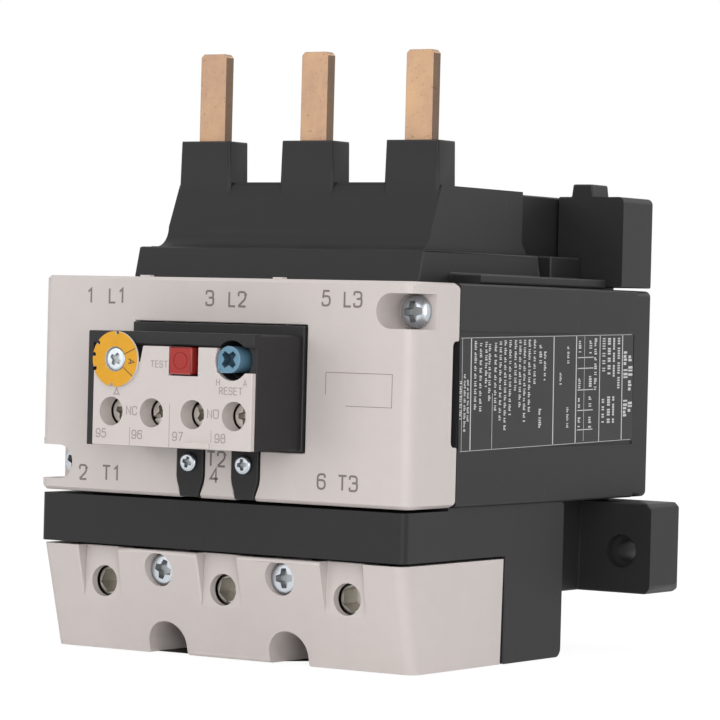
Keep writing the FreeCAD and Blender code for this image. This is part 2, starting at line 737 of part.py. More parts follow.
def clamp_screw(x):
    end = pad_y[0] - 0.1
    body = cylinder("y", (x, clamp_screw_z), screw_radius, (screw_front, end))
    rim = [edge for edge in body.Edges if abs(edge.BoundBox.YMax - screw_front) < 1e-6]
    body = body.makeChamfer(screw_bevel, rim)
    tip = cylinder("y", (x, clamp_screw_z), screw_tip_radius, (end - 0.1, pad_y[0] + tip_length))
    return cut(body.fuse(tip), hexagon_y((x, clamp_screw_z), hex_across, (screw_front - 1, screw_front + hex_depth)))


# ---- auxiliary module ------------------------------------------------------
chamber_rear = -2.0
aux_wire_half = 2.9
aux_wire_y = (-9.8, -5.6)


def aux_module_body():
    front = module_front + plate_thick
    shell = box((-module_half, module_half), (front, module_rear), module_z)
    shell = bevel_edges(shell, 0.4, lambda way, mid: abs(way.y) > 0.9)
    strip = box((-module_half, module_half), (module_front, front + 1), (32.05, module_z[1]))
    strip = bevel_edges(strip, 0.4, lambda way, mid: abs(way.x) > 0.9 and mid.y < front - 1)
    lip = box((-module_half, plate_left - 0.15), (module_front, front + 1), (module_z[0], 33.0))
    hood = box(hood_x, (-0.8, wall), hood_z)
    shape = join(shell, strip, lip, hood)
    back_room = box((-module_half + module_wall, module_half - module_wall), (1.2, module_rear + 1),
                    (module_z[0] + module_wall, module_z[1] - module_wall))
    cutters = [back_room]
    for x in aux_x:
        # terminal chambers: the screw comes from the front, the wire from below
        cutters.append(box((x - aux_room_half, x + aux_room_half), (front + 1.2, chamber_rear), aux_room_z))
        cutters.append(octagon_y((x, aux_z), aux_hole_radius + 1.0, (front - 1, module_front + collar_depth + 0.2)))
        cutters.append(box((x - aux_wire_half, x + aux_wire_half), aux_wire_y, (module_z[0] - 1, 13.0)))
        cutters.append(box((x - 2.4, x + 2.4), (chamber_rear - 1, 2.0), (aux_tail_z[0] - 0.3, 20.4)))
    cutters.append(cylinder("y", (dial_x, dial_z), shaft_bore, (front - 2, 5.0)))
    cutters.append(cylinder("y", (dial_x, dial_z), 3.9, (front - 2, front + 1.4)))
    test_room = test_half + button_gap
    cutters.append(box((test_x - test_room, test_x + test_room + 1.2), (front - 2, -8.0),
                       (test_z - test_room, test_z + test_room)))
    cutters.append(square_y((test_x, test_z), stem_half + stem_gap, (-9.0, 5.0)))
    cutters.append(cylinder("y", (reset_x + 0.6, reset_z - 0.2), 4.1, (module_front - 2, front + 3.6)))
    cutters.append(cylinder("y", (reset_x, reset_z), reset_radius + 0.75, (front - 2, -8.0)))
    cutters.append(square_y((reset_x, reset_z), stem_half + stem_gap, (-9.0, 5.0)))
    shape = cut(shape, *cutters)
    tongues = []
    for side in (-1, 1):
        tongues.append(tongue(side * tongue_x, 0, hood_z[0] + 1.0, (-0.4, wall)))
    shape = join(shape, *tongues)
    bores = [cylinder("y", (side * tongue_x, tongue_screw_z), tongue_shank_radius, (-2, 5)) for side in (-1, 1)]
    return cut(shape, *bores)


def tongue_screws():
    screws = []
    for side in (-1, 1):
        x = side * tongue_x
        head = cylinder("y", (x, tongue_screw_z), tongue_screw_radius, (-1.4, -0.4))
        shank = cylinder("y", (x, tongue_screw_z), tongue_shank_radius, (-0.5, 7.0))
        screws.append(head.fuse(shank))
    return Part.makeCompound(screws)


def aux_face_plate():
    """The light face of the module, with deep collars round the four terminal screws."""
    y = (module_front, module_front + plate_thick)
    plate = box((plate_left, module_half - 0.2), y, (module_z[0] + 0.1, plate_z[1]))
    collars = [cylinder("y", (x, aux_z), aux_hole_radius + 0.9, (y[0], y[0] + collar_depth)) for x in aux_x]
    ledge = box((4.4, 10.9), (y[0] - 0.9, y[1]), (11.3, 12.4))
    shape = join(plate, ledge, *collars)
    cutters = [cylinder("y", (x, aux_z), aux_hole_radius, (y[0] - 1, y[0] + collar_depth + 1)) for x in aux_x]
    # the black corner beside the dial, the button's notch and the reset corner
    cutters.append(extrude([(-22.0, 26.0), (-7.6, 28.6), (-6.6, 33.0), (-22.0, 33.0)], "y", (y[0] - 2, y[1] + 1)))
    cutters.append(cylinder("y", (dial_x, dial_z), 4.2, (y[0] - 2, y[1] + 1)))
    test_room = test_half + button_gap
    cutters.append(box((test_x - test_room, test_x + test_room + 1.2), (y[0] - 2, y[1] + 1), (test_z - test_room, 33.0)))
    cutters.append(box((11.9, 22.0), (y[0] - 2, y[1] + 1), (26.9, 33.0)))
    cutters.append(cylinder("y", (reset_x + 0.6, reset_z - 0.2), 4.1, (y[0] - 2, y[1] + 1)))
    return cut(shape, *cutters)


def aux_terminal_plates():
    """The four contact plates that the wires are clamped on."""
    plates = []
    for x in aux_x:
        plate = box((x - aux_room_half, x + aux_room_half), aux_plate_y, (aux_tail_z[0] - 0.4, 22.6))
        plate = plate.cut(cylinder("y", (x, aux_z), aux_shank_radius + 0.06, (-7, -3)))
        tail = box((x - 2.0, x + 2.0), (aux_plate_y[1] - 0.1, contact_y[0] + 0.2), aux_tail_z)
        plates.append(join(plate, tail))
    posts = [(right - post_thick, right) for right in closed_posts()]
    posts += [(left, left + post_thick) for left in open_posts()]
    for k, post in enumerate(posts):
        plates[k] = join(plates[k], box(post, (contact_y[0] - 1.0, contact_y[1] - 0.2), (aux_tail_z[0], post_top)))
    return Part.makeCompound(plates)


aux_plate_y = (-5.6, -4.4)
aux_screw_travel = 3.0
aux_shank_radius = 1.74
aux_head_radius = 2.8
aux_head_y = (-13.4, -11.2)


def aux_screw(x):
    head = cylinder("y", (x, aux_z), aux_head_radius, aux_head_y)
    front = [edge for edge in head.Edges if abs(edge.BoundBox.YMax - aux_head_y[0]) < 1e-6]
    head = head.makeChamfer(0.6, front)
    shank = cylinder("y", (x, aux_z), aux_shank_radius, (aux_head_y[1] - 0.1, -3.0))
    return head.fuse(shank).cut(cross_recess(x, aux_z, 1.7, (aux_head_y[0] - 1, aux_head_y[0] + 1.2)))


def aux_clamp(x):
    """The clamping washer under the screw's head."""
    plate = box((x - 3.3, x + 3.3), (aux_head_y[1] + 0.1, aux_head_y[1] + 1.3), (14.2, 22.0))
    plate = bevel_edges(plate, 0.6, lambda way, mid: abs(way.y) > 0.9)
    return plate.cut(cylinder("y", (x, aux_z), aux_shank_radius + 0.06, (aux_head_y[1] - 1, aux_head_y[1] + 3)))


# ---- dial, test button, reset ----------------------------------------------
def setting_dial():
    centre = (dial_x, dial_z)
    disc = cylinder("y", centre, dial_radius, (dial_front, dial_front + dial_thick))
    hub_end = module_front + plate_thick + 1.2
    hub = cylinder("y", centre, dial_hub_radius, (dial_front + dial_thick - 0.1, hub_end))
    shaft = cylinder("y", centre, dial_shaft_radius, (hub_end - 0.1, cam_y[0]))
    recess = cylinder("y", centre, dial_recess_radius, (dial_front - 1, dial_front + dial_recess))
    bore = cylinder("y", centre, dial_screw_radius, (dial_front, dial_front + dial_screw_length + 0.5))
    return cut(join(disc, hub, shaft), recess, bore)


def dial_screw():
    """The dial's screw, sunk in its recess."""
    centre = (dial_x, dial_z)
    face = dial_front + 0.2
    head = cylinder("y", centre, dial_head_radius, (face, dial_front + dial_recess))
    shank = cylinder("y", centre, dial_screw_radius, (dial_front + dial_recess - 0.1, dial_front + dial_screw_length))
    return cut(head.fuse(shank), cross_recess(dial_x, dial_z, 1.5, (face - 1, face + 0.5)))


def dial_cam():
    cam = cylinder("y", (dial_x + cam_offset, dial_z), cam_radius, cam_y)
    return cam


def test_button():
    low, high = test_x - test_half, test_x + test_half
    body = box((low, high), (test_front, -10.6), (test_z - test_half, test_z + test_half))
    body = bevel_edges(body, 0.4, lambda way, mid: abs(way.y) > 0.9)
    stem = square_y((test_x, test_z), stem_half, (-10.7, rocker_y[0] - 0.4 - test_travel))
    return join(body, stem)


def ring_prism(centre, radii, span):
    """An eight-sided ring along Y."""
    def polygon(radius):
        return [(centre[0] + radius * math.cos(math.radians(45 * k)),
                 centre[1] + radius * math.sin(math.radians(45 * k))) for k in range(8)]
    return extrude(polygon(radii[1]), "y", span).cut(extrude(polygon(radii[0]), "y", (span[0] - 1, span[1] + 1)))


def spring(centre, radius, span, turns, wire):
    """A compression spring, drawn as its turns' rings joined by one strut."""
    step = (span[1] - span[0] - wire) / (turns - 1)
    rings = [ring_prism(centre, (radius - wire, radius), (span[0] + k * step, span[0] + k * step + wire))
             for k in range(turns)]
    strut = box((centre[0] - wire / 2, centre[0] + wire / 2), span, (centre[1] + radius - wire, centre[1] + radius - 0.02))
    return join(strut, *rings)


def test_spring():
    return spring((test_x, test_z), 2.5, (-10.55, -8.02), 4, 0.35)


def reset_knob():
    """A round knob with one pointed corner, turned from H (hand) to A (automatic)."""
    disc = cylinder("y", (reset_x, reset_z), reset_radius, (reset_front, -12.0))
    corner = box((reset_x - reset_radius, reset_x), (reset_front, -12.0), (reset_z - reset_radius, reset_z))
    corner = corner.common(cylinder("y", (reset_x, reset_z), reset_radius + 0.65, (reset_front, -12.0)))
    shape = join(disc, corner)
    slot = cross_recess(reset_x, reset_z, 1.5, (reset_front - 1, reset_front + 1.0))
    slot.rotate(Vector(reset_x, 0, reset_z), ALONG["y"], 45)
    bore = cylinder("y", (reset_x, reset_z), 1.0, (-15.0, -11.0))
    return cut(shape, slot, bore)


def reset_stem():
    """The plunger that carries the knob on its peg."""
    peg = cylinder("y", (reset_x, reset_z), 0.95, (-14.8, -11.7))
    rod = square_y((reset_x, reset_z), stem_half, (-11.8, rocker_y[0] - 0.3 - reset_travel))
    return join(peg, rod)


def reset_spring():
    return spring((reset_x, reset_z), 2.5, (-11.95, -8.02), 5, 0.35)


# ---- trip mechanism --------------------------------------------------------
def trip_slider():
    """The comb that the strips push towards -X, with a pusher for the compensation lever."""
    bar = box(slider_x, slider_y, trip_slider_z)
    pieces = []
    for x in pole_x:
        left = x - bar_width / 2 - strip_thick - slider_gap
        pieces.append(box((left - finger_width, left), (slider_y[1] - 0.2, finger_reach), trip_slider_z))
    low = lever_x + lever_half + slider_gap
    pieces.append(box((low, low + pusher_width), slider_y, (trip_slider_z[1] - 0.2, pusher_z[1])))
    pieces.append(box((low, low + pusher_width), (lever_y[0] + 0.2, slider_y[0] + 0.2), pusher_z))
    return join(bar, *pieces)


def phase_loss_slider():
    """The second comb: a cold strip holds it back when one phase fails."""
    bar = box(slider_x, slider_y, loss_slider_z)
    fingers = []
    for x in pole_x:
        right = x - bar_width / 2 + slider_gap + slider_travel
        fingers.append(box((right, right + finger_width), (slider_y[1] - 0.2, finger_reach), loss_slider_z))
    return join(bar, *fingers)


def compensation_lever():
    """The strip that evens out the room's warmth, hung on its pivot, with an arm to the dial's cam."""
    strip = box((lever_x - lever_half, lever_x + lever_half), lever_y, (lever_foot, lever_pivot_z))
    boss = cylinder("y", (lever_x, lever_pivot_z), 2.3, lever_y)
    arm_tip = dial_x + cam_radius + cam_offset + 0.5
    arm = box((arm_tip, lever_x), lever_y, (lever_pivot_z - 0.8, lever_pivot_z + 0.8))
    bore = cylinder("y", (lever_x, lever_pivot_z), pivot_bore, (lever_y[0] - 1, lever_y[1] + 1))
    return join(strip, boss, arm).cut(bore)


def trip_lever():
    """The rocker between the compensation lever and the contact carrier."""
    body = box((rocker_x - rocker_half, rocker_x + rocker_half), rocker_y, rocker_z)
    boss = cylinder("y", (rocker_x, rocker_pivot_z), 2.2, rocker_y)
    nub = box((rocker_x, lever_x - lever_half - 0.4), (rocker_y[0], lever_y[1] - 0.2), (14.0, 15.4))
    bore = cylinder("y", (rocker_x, rocker_pivot_z), pivot_bore, (rocker_y[0] - 1, rocker_y[1] + 1))
    return join(body, boss, nub).cut(bore)


def closed_posts():
    """Right faces of the two posts that the closed pair rests on."""
    return [aux_x[0] + 1.2, aux_x[1] + 1.2]


def open_posts():
    """Left faces of the two posts that the open pair meets when the relay trips."""
    return [aux_x[2] + 0.9, aux_x[3] + 0.9]


def bridge_lugs():
    """The left faces of the lugs of each bridge, closed pair first."""
    closed = [right + contact_gap for right in closed_posts()]
    reach = contact_gap + carrier_travel + lug_thick
    return [closed, [left - reach for left in open_posts()]]


def moving_contacts():
    bridges = []
    y = (contact_y[0] + 0.2, contact_y[1] - 0.4)
    for lugs in bridge_lugs():
        strip = box((lugs[0], lugs[1] + lug_thick), y, bridge_z)
        tips = [box((left, left + lug_thick), y, (post_top - 2.8, bridge_z[0] + 0.1)) for left in lugs]
        bridges.append(join(strip, *tips))
    return Part.makeCompound(bridges)


def contact_carrier():
    """The slide that holds both contact bridges, with a fin before each stem."""
    left = rocker_x + rocker_half + slider_gap
    bar = box((left, carrier_end), rocker_y, carrier_z)
    arms = [box(span, (contact_y[0] + 0.6, rocker_y[1]), (bridge_z[1], carrier_z[0] + 0.2))
            for span in ((-6.2, -3.2), (8.4, 12.4))]
    fins = [box((x - 1.0, x + 1.0), rocker_y, (carrier_z[1] - 0.2, carrier_z[1] + 3.0)) for x in (test_x, reset_x)]
    return join(bar, *(arms + fins))


def mechanism_plate():
    """The moulded plate that carries the pivots of the lever and the rocker."""
    room = module_half - module_wall
    plate = box((-room, room), plate_y, (module_z[0] + module_wall, module_z[1] - module_wall))
    low = lever_x + lever_half + slider_gap
    window = box((low - slider_travel - 0.5, low + pusher_width + 0.5), (plate_y[0] - 1, plate_y[1] + 1),
                 (pusher_z[0] - 0.6, pusher_z[1] + 0.6))
    pins = [cylinder("y", (lever_x, lever_pivot_z), pivot_radius, (lever_y[0] - 0.6, plate_y[0] + 0.2)),
            cylinder("y", (rocker_x, rocker_pivot_z), pivot_radius, (rocker_y[0] - 0.6, plate_y[0] + 0.2))]
    return join(plate.cut(window), *pins)
def main():
    os.makedirs("parts", exist_ok=True)
    single = {
        "front_cover": front_cover, "cover_screws": cover_screws, "main_housing": main_housing,
        "side_label": side_label, "mounting_base": mounting_base,
        "top_shroud": top_shroud, "lower_terminal_housing": lower_terminal_housing,
        "lower_terminal_cover": lower_terminal_cover, "terminal_cover_screws": terminal_cover_screws,
        "aux_module_body": aux_module_body, "tongue_screws": tongue_screws, "aux_face_plate": aux_face_plate,
        "aux_terminal_plates": aux_terminal_plates, "setting_dial": setting_dial, "dial_screw": dial_screw,
        "dial_cam": dial_cam, "test_button": test_button, "test_spring": test_spring, "reset_knob": reset_knob,
        "reset_stem": reset_stem, "reset_spring": reset_spring, "trip_slider": trip_slider,
        "phase_loss_slider": phase_loss_slider, "compensation_lever": compensation_lever,
        "trip_lever": trip_lever, "contact_carrier": contact_carrier, "moving_contacts": moving_contacts,
        "mechanism_plate": mechanism_plate,
    }
    for name, make in single.items():
        save(name, make())
    for pole, (x, foot_x) in enumerate(zip(pole_x, terminal_x), start=1):
        save(f"line_bar_{pole}", line_bar(x))
        save(f"bimetal_{pole}", bimetal(x))
        save(f"heater_{pole}", heater(x))
        save(f"load_bar_{pole}", load_bar(x, foot_x))
        save(f"clamp_cage_{pole}", clamp_cage(foot_x))
        save(f"clamp_pad_{pole}", clamp_pad(foot_x))
        save(f"clamp_screw_{pole}", clamp_screw(foot_x))
    for terminal, x in enumerate(aux_x, start=1):
        save(f"aux_screw_{terminal}", aux_screw(x))
        save(f"aux_clamp_{terminal}", aux_clamp(x))


if __name__ == "__main__":
    main()
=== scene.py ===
"""The looks of a thermal overload relay, built round its CAD frame as a Blender add-on.

Lengths in the tables are millimetres in the cover's frame: x to the right of the middle,
y back from the front cover's face and z up from its lower edge. at() turns them into metres.
"""
import json
import math

import bmesh
import bpy
from mathutils import Matrix, Vector


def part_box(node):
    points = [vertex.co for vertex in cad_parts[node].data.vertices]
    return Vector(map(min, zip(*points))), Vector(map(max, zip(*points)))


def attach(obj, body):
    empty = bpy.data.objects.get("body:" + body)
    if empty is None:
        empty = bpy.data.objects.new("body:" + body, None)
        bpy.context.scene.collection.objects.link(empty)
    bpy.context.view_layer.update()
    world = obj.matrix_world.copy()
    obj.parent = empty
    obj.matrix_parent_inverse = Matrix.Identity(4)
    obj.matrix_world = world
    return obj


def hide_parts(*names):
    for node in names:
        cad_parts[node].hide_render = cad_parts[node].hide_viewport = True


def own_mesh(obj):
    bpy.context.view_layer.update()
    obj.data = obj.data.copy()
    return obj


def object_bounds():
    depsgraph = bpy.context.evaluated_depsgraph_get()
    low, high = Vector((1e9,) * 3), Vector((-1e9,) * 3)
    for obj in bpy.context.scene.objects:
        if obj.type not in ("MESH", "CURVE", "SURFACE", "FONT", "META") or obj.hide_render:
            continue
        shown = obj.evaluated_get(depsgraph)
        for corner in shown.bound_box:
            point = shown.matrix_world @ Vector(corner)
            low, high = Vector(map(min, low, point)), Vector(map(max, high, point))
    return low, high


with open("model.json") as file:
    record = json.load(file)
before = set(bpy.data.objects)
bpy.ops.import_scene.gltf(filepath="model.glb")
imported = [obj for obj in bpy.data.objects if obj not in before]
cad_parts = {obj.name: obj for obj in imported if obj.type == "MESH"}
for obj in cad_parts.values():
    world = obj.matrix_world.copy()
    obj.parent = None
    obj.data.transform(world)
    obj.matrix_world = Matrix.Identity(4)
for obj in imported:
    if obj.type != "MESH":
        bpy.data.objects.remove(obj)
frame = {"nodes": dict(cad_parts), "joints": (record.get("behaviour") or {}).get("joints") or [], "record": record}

bl_info = {
    "name": "Thermal Overload Relay",
    "version": (1, 0, 0),
    "blender": (4, 5, 0),
    "location": "View3D > Sidebar > Relay",
    "description": "Builds the visible pieces of a thermal overload relay round its CAD frame",
    "category": "Add Mesh",
}

MM = 0.001
CAD_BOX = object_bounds()
COVER_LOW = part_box("front_cover")[0]
ORIGIN = Vector((0.0, COVER_LOW.y, COVER_LOW.z))
STATIC = "relay"
POLES = (1, 2, 3)
CONTROLS = (1, 2, 3, 4)


def at(x, y, z):
    """A point of the cover's frame, in metres."""
    return ORIGIN + Vector((x, y, z)) * MM


def middle(node):
    """The middle of a CAD node's box."""
    low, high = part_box(node)
    return (low + high) / 2


# ---- sizes and colours that a user would change ------------------------------
def length(name, description, millimetres):
    return bpy.props.FloatProperty(
        name=name, description=description, default=millimetres * MM, min=0, unit="LENGTH", precision=6)


class RelaySizes(bpy.types.PropertyGroup):
    """Small sizes of the finish."""

    moulded_edge: length("Moulded edge", "Rounding of the moulded edges", 0.35)
    outer_edge: length("Outer edge", "Rounding of the long outer edges of the covers and housings", 0.9)
    metal_edge: length("Metal edge", "Rounding of stamped and sheared metal edges", 0.14)
    ink_thickness: length("Ink thickness", "How far a printed mark stands proud", 0.02)
    pole_mark: length("Pole marks", "Height of the terminal marks on the front cover", 3.0)
    clamp_pitch: length("Clamp thread", "Pitch of the clamp screws' thread", 1.25)
    screw_turn: bpy.props.IntProperty(
        name="Screw turn", description="Seed of the angles at which the screws stand", default=7)


def colour(name, description, value):
    return bpy.props.FloatVectorProperty(
        name=name, description=description, default=value, size=3, min=0, max=1, subtype="COLOR")


class RelayColours(bpy.types.PropertyGroup):
    """Colours of the finishes, scene linear."""

    cover: colour("Cover", "Light grey covers and face plate", (0.58, 0.527, 0.508))
    housing: colour("Housing", "Black housings", (0.021, 0.02, 0.021))
    copper: colour("Copper", "Rosy rolled copper", (0.34, 0.215, 0.16))
    gilt: colour("Gilt copper", "Golden tarnish on the copper", (0.56, 0.36, 0.2))
    dial: colour("Dial", "Yellow face of the setting dial", (0.66, 0.32, 0.012))
    test: colour("Test button", "Red test button", (0.33, 0.024, 0.02))
    reset: colour("Reset knob", "Blue reset knob", (0.115, 0.235, 0.33))
    ink: colour("Ink", "Grey printed marks", (0.16, 0.14, 0.135))
    label_ink: colour("Label ink", "Print on the rating label", (0.5, 0.5, 0.5))


# ---- shader expressions --------------------------------------------------------
class Wire:
    """An output socket in an expression: each operator adds a Math node."""

    def __init__(self, paint, socket):
        self.paint = paint
        self.socket = socket

    def __add__(self, other):
        return self.paint.math("ADD", self, other)

    def __sub__(self, other):
        return self.paint.math("SUBTRACT", self, other)

    def __rsub__(self, other):
        return self.paint.math("SUBTRACT", other, self)

    def __mul__(self, other):
        return self.paint.math("MULTIPLY", self, other)

    def __gt__(self, other):
        return self.paint.math("GREATER_THAN", self, other)

    __radd__ = __add__
    __rmul__ = __mul__


class Paint:
    """A material's node tree, built from expressions."""

    def __init__(self, name):
        self.material = bpy.data.materials.new(name)
        self.material.use_nodes = True
        self.tree = self.material.node_tree
        self.tree.nodes.clear()

    def node(self, kind, settings=None, sockets=None, output=0):
        """Adds any node: its settings first, then its sockets' values or links."""
        made = self.tree.nodes.new("ShaderNode" + kind)
        for key, value in (settings or {}).items():
            if key == "stops":
                ramp = made.color_ramp.elements
                for stop, (place, tone) in zip(ramp, value):
                    stop.position = place
                    stop.color = (tone, tone, tone, 1)
            else:
                setattr(made, key, value)
        for key, value in (sockets or {}).items():
            if isinstance(value, Wire):
                self.tree.links.new(value.socket, made.inputs[key])
            else:
                made.inputs[key].default_value = value
        return Wire(self, made.outputs[output])

    def math(self, operation, *values):
        return self.node("Math", {"operation": operation}, dict(enumerate(values)))

    def blend(self, factor, low, high):
        """A colour between two, each a plain colour or a wire."""
        low, high = (tone if isinstance(tone, Wire) else (*tone, 1) for tone in (low, high))
        return self.node("Mix", {"data_type": "RGBA"}, {0: factor, 6: low, 7: high}, output=2)

    def noise(self, size, detail=2.0, stretch=(1, 1, 1), turn=(0, 0, 0)):
        """Noise whose features are about size metres wide; stretch below 1 draws them out."""
        raw = self.node("TexCoord", output="Object")
        laid = self.node("Mapping", None, {"Vector": raw, "Rotation": turn, "Scale": stretch})
        return self.node("TexNoise", {"noise_dimensions": "3D"}, {
            "Vector": laid, "Scale": 1 / size, "Detail": detail, "Roughness": 0.55})

    def ramp(self, value, *stops):
        return self.node("ValToRGB", {"stops": stops}, {"Fac": value})

    def hairlines(self, size, stretch, turn):
        """Sparse thin scratches along one direction."""
        lines = self.noise(size, 1.0, stretch, turn)
        where = self.noise(9 * MM, 2.0)
        return (lines > 0.69) * (where > 0.55)

    def edge(self):
        """One on a rounded edge of the piece, nought elsewhere."""
        return self.node("Attribute", {"attribute_name": "edge"}, output="Fac")

    def surface(self, base, roughness, height, depth, metallic=0.0, coat=0.0, specular=0.5):
        """Ends the material: a Principled surface whose bump is depth metres deep."""
        bump = self.node("Bump", None, {"Strength": 1.0, "Distance": depth, "Height": height},
                         output="Normal")
        base = base if isinstance(base, Wire) else (*base, 1)
        shade = self.node("BsdfPrincipled", None, {
            "Base Color": base, "Roughness": roughness, "Metallic": metallic, "Normal": bump,
            "Coat Weight": coat, "Coat Roughness": 0.1, "Specular IOR Level": specular})
        end = self.tree.nodes.new("ShaderNodeOutputMaterial")
        self.tree.links.new(shade.socket, end.inputs["Surface"])
        return self.material


def tint(tone, amount):
    return tuple(min(1.0, channel * amount) for channel in tone)


# ---- finishes -------------------------------------------------------------------
def moulded(name, tone, rubbed, drift=0.05, specular=0.4):
    """Moulded plastic: spark-eroded grain, slow drift of tone, rubbed edges, a few hairlines."""
    paint = Paint(name)
    fine = paint.noise(0.22 * MM, 2.0)
    cloud = paint.noise(3.2 * MM, 3.0)
    broad = paint.noise(28 * MM, 3.0)
    flow = paint.noise(6 * MM, 2.0, (1, 1, 0.16))
    hair = paint.hairlines(0.5 * MM, (1, 1, 0.03), (0.3, 0.5, 0.2))
    mix = broad * 0.45 + cloud * 0.3 + flow * 0.25
    base = paint.blend(mix, tint(tone, 1 - 2 * drift), tint(tone, 1 + 2 * drift))
    base = paint.blend(fine * 0.14, base, tint(tone, 0.8))
    base = paint.blend(paint.edge() * (cloud * 0.9 + 0.15), base, rubbed)
    gloss = 0.5 + (fine - 0.5) * 0.16 + (broad - 0.5) * 0.12 - hair * 0.08
    return paint.surface(base, gloss, fine * 0.8 + cloud * 0.5 - hair * 0.6, 0.012 * MM, specular=specular)


def rolled_copper(name, rosy, gilt):
    """Rolled copper bar: brushed lengthwise, golden and rosy patches, brown specks."""
    paint = Paint(name)
    streak = paint.noise(0.35 * MM, 3.0, (1, 1, 0.045))
    patch = paint.ramp(paint.noise(9 * MM, 4.0, (1, 1, 0.6)), (0.4, 0), (0.66, 1))
    speck = paint.noise(0.7 * MM, 2.0) > 0.68
    mottle = paint.noise(1.6 * MM, 3.0)
    base = paint.blend(patch * 0.75, rosy, gilt)
    base = paint.blend(streak * 0.45, base, tint(rosy, 0.6))
    base = paint.blend(mottle * 0.5, base, tint(gilt, 1.1))
    base = paint.blend(speck * 0.4, base, tint(rosy, 0.4))
    base = paint.blend(paint.edge() * 0.5, base, tint(rosy, 1.25))
    gloss = 0.46 - streak * 0.16 + mottle * 0.12 + speck * 0.1
    return paint.surface(base, gloss, streak + speck * 0.3, 0.006 * MM, metallic=0.88)


def plated(name, tone, tarnish, roughness, brushed=(1, 1, 1)):
    """Plated or bare steel: fine drawing lines, clouded passivation and dull specks."""
    paint = Paint(name)
    lines = paint.noise(0.3 * MM, 3.0, brushed)
    cloud = paint.noise(1.8 * MM, 3.0)
    speck = paint.noise(0.45 * MM, 2.0) > 0.66
    base = paint.blend(cloud * 0.7, tone, tarnish)
    base = paint.blend(speck * 0.25, base, tint(tarnish, 0.6))
    base = paint.blend(paint.edge() * 0.5, base, tint(tone, 1.15))
    gloss = roughness + (cloud - 0.5) * 0.18 + (lines - 0.5) * 0.12
    return paint.surface(base, gloss, lines * 0.8 + cloud * 0.4, 0.004 * MM, metallic=1.0)


def coloured(name, tone, roughness, coat=0.0):
    """Smooth coloured plastic of the dial and the buttons."""
    paint = Paint(name)
    fine = paint.noise(0.16 * MM, 2.0)
    cloud = paint.noise(1.5 * MM, 3.0)
    broad = paint.noise(5 * MM, 2.0)
    base = paint.blend(cloud * 0.5 + broad * 0.5, tint(tone, 0.88), tint(tone, 1.12))
    base = paint.blend(paint.edge() * 0.35, base, tuple(channel * 0.6 + 0.3 for channel in tone))
    gloss = roughness + (fine - 0.5) * 0.1 + (cloud - 0.5) * 0.14
    return paint.surface(base, gloss, fine * 0.5 + cloud * 0.6, 0.006 * MM, coat=coat, specular=0.3)


def printed(name, tone):
    """Pad-printed ink: slightly broken in density."""
    paint = Paint(name)
    fine = paint.noise(0.12 * MM, 2.0)
    base = paint.blend(fine, tint(tone, 0.8), tint(tone, 1.35))
    return paint.surface(base, 0.55 + (fine - 0.5) * 0.2, fine, 0.002 * MM)


def film(name, tone):
    """Satin label film with fine ripples and rubbed spots."""
    paint = Paint(name)
    fine = paint.noise(0.14 * MM, 2.0)
    ripple = paint.noise(5 * MM, 2.0, (1, 0.3, 1))
    rub = paint.ramp(paint.noise(7 * MM, 4.0), (0.5, 0), (0.8, 1))
    base = paint.blend(rub * 0.5 + fine * 0.2, tone, tint(tone, 1.7))
    return paint.surface(base, 0.36 + ripple * 0.12 + rub * 0.14, fine * 0.2 + ripple, 0.008 * MM,
                         specular=0.26)


FINISHES = {}


def make_finishes(colours):
    """All finishes by the record's slots, and the extra ones that a piece combines."""
    cover, housing, copper, gilt, dial, test, reset, ink, label_ink = (
        tuple(getattr(colours, name)) for name in RelayColours.__annotations__)
    steel = (0.62, 0.62, 0.61)
    FINISHES.update({
        "grey_plastic": moulded("cover_grey", cover, tint(cover, 1.12)),
        "black_plastic": moulded("housing_black", housing, tint(housing, 2.2), 0.08, 0.22),
        "label_film": film("label_film", tint(housing, 0.95)),
        "zinc_steel": plated("zinc_plate", (0.56, 0.6, 0.64), (0.4, 0.43, 0.46), 0.3),
        "terminal_steel": plated("terminal_plate", (0.9, 0.88, 0.82), (0.7, 0.67, 0.6), 0.42),
        "clamp_steel": plated("clamp_plate", (0.66, 0.64, 0.6), (0.45, 0.42, 0.37), 0.36),
        "copper": rolled_copper("rolled_copper", copper, gilt),
        # painted shade: a copy of the copper at 0.36 of its brightness, for the line bars' faces that look left
        # and right
        "copper_painted_shade": rolled_copper("sheared_copper", tint(copper, 0.36), tint(gilt, 0.36)),
        "bimetal_steel": plated("bimetal", steel, (0.48, 0.46, 0.42), 0.4, (1, 1, 0.05)),
        "heater_alloy": plated("heater_ribbon", (0.46, 0.43, 0.39), (0.3, 0.26, 0.24), 0.45,
                               (0.06, 0.06, 1)),
        "yellow_plastic": coloured("dial_yellow", dial, 0.42),
        "natural_plastic": coloured("natural_plastic", (0.72, 0.69, 0.6), 0.45),
        "red_plastic": coloured("test_red", test, 0.45),
        "blue_plastic": coloured("reset_blue", reset, 0.42, 0.05),
        "spring_steel": plated("spring_wire", steel, (0.42, 0.42, 0.42), 0.3),
        "ink": printed("grey_ink", ink),
        "pale_ink": printed("pale_ink", tint(ink, 1.9)),
        "brown_ink": printed("brown_ink", (0.11, 0.055, 0.02)),
        # painted shade: a darker steel for the screws' cross recesses
        "recess_steel": plated("recess_steel", (0.42, 0.44, 0.45), (0.26, 0.27, 0.27), 0.5),
        # painted shade: a darker blue for the inside of the reset knob's recess
        "blue_painted_shade": coloured("recess_blue", tint(reset, 0.4), 0.6),
        "label_ink": printed("label_ink", label_ink),
        "dial_rim": coloured("dial_rim", (0.62, 0.6, 0.57), 0.4),
    })


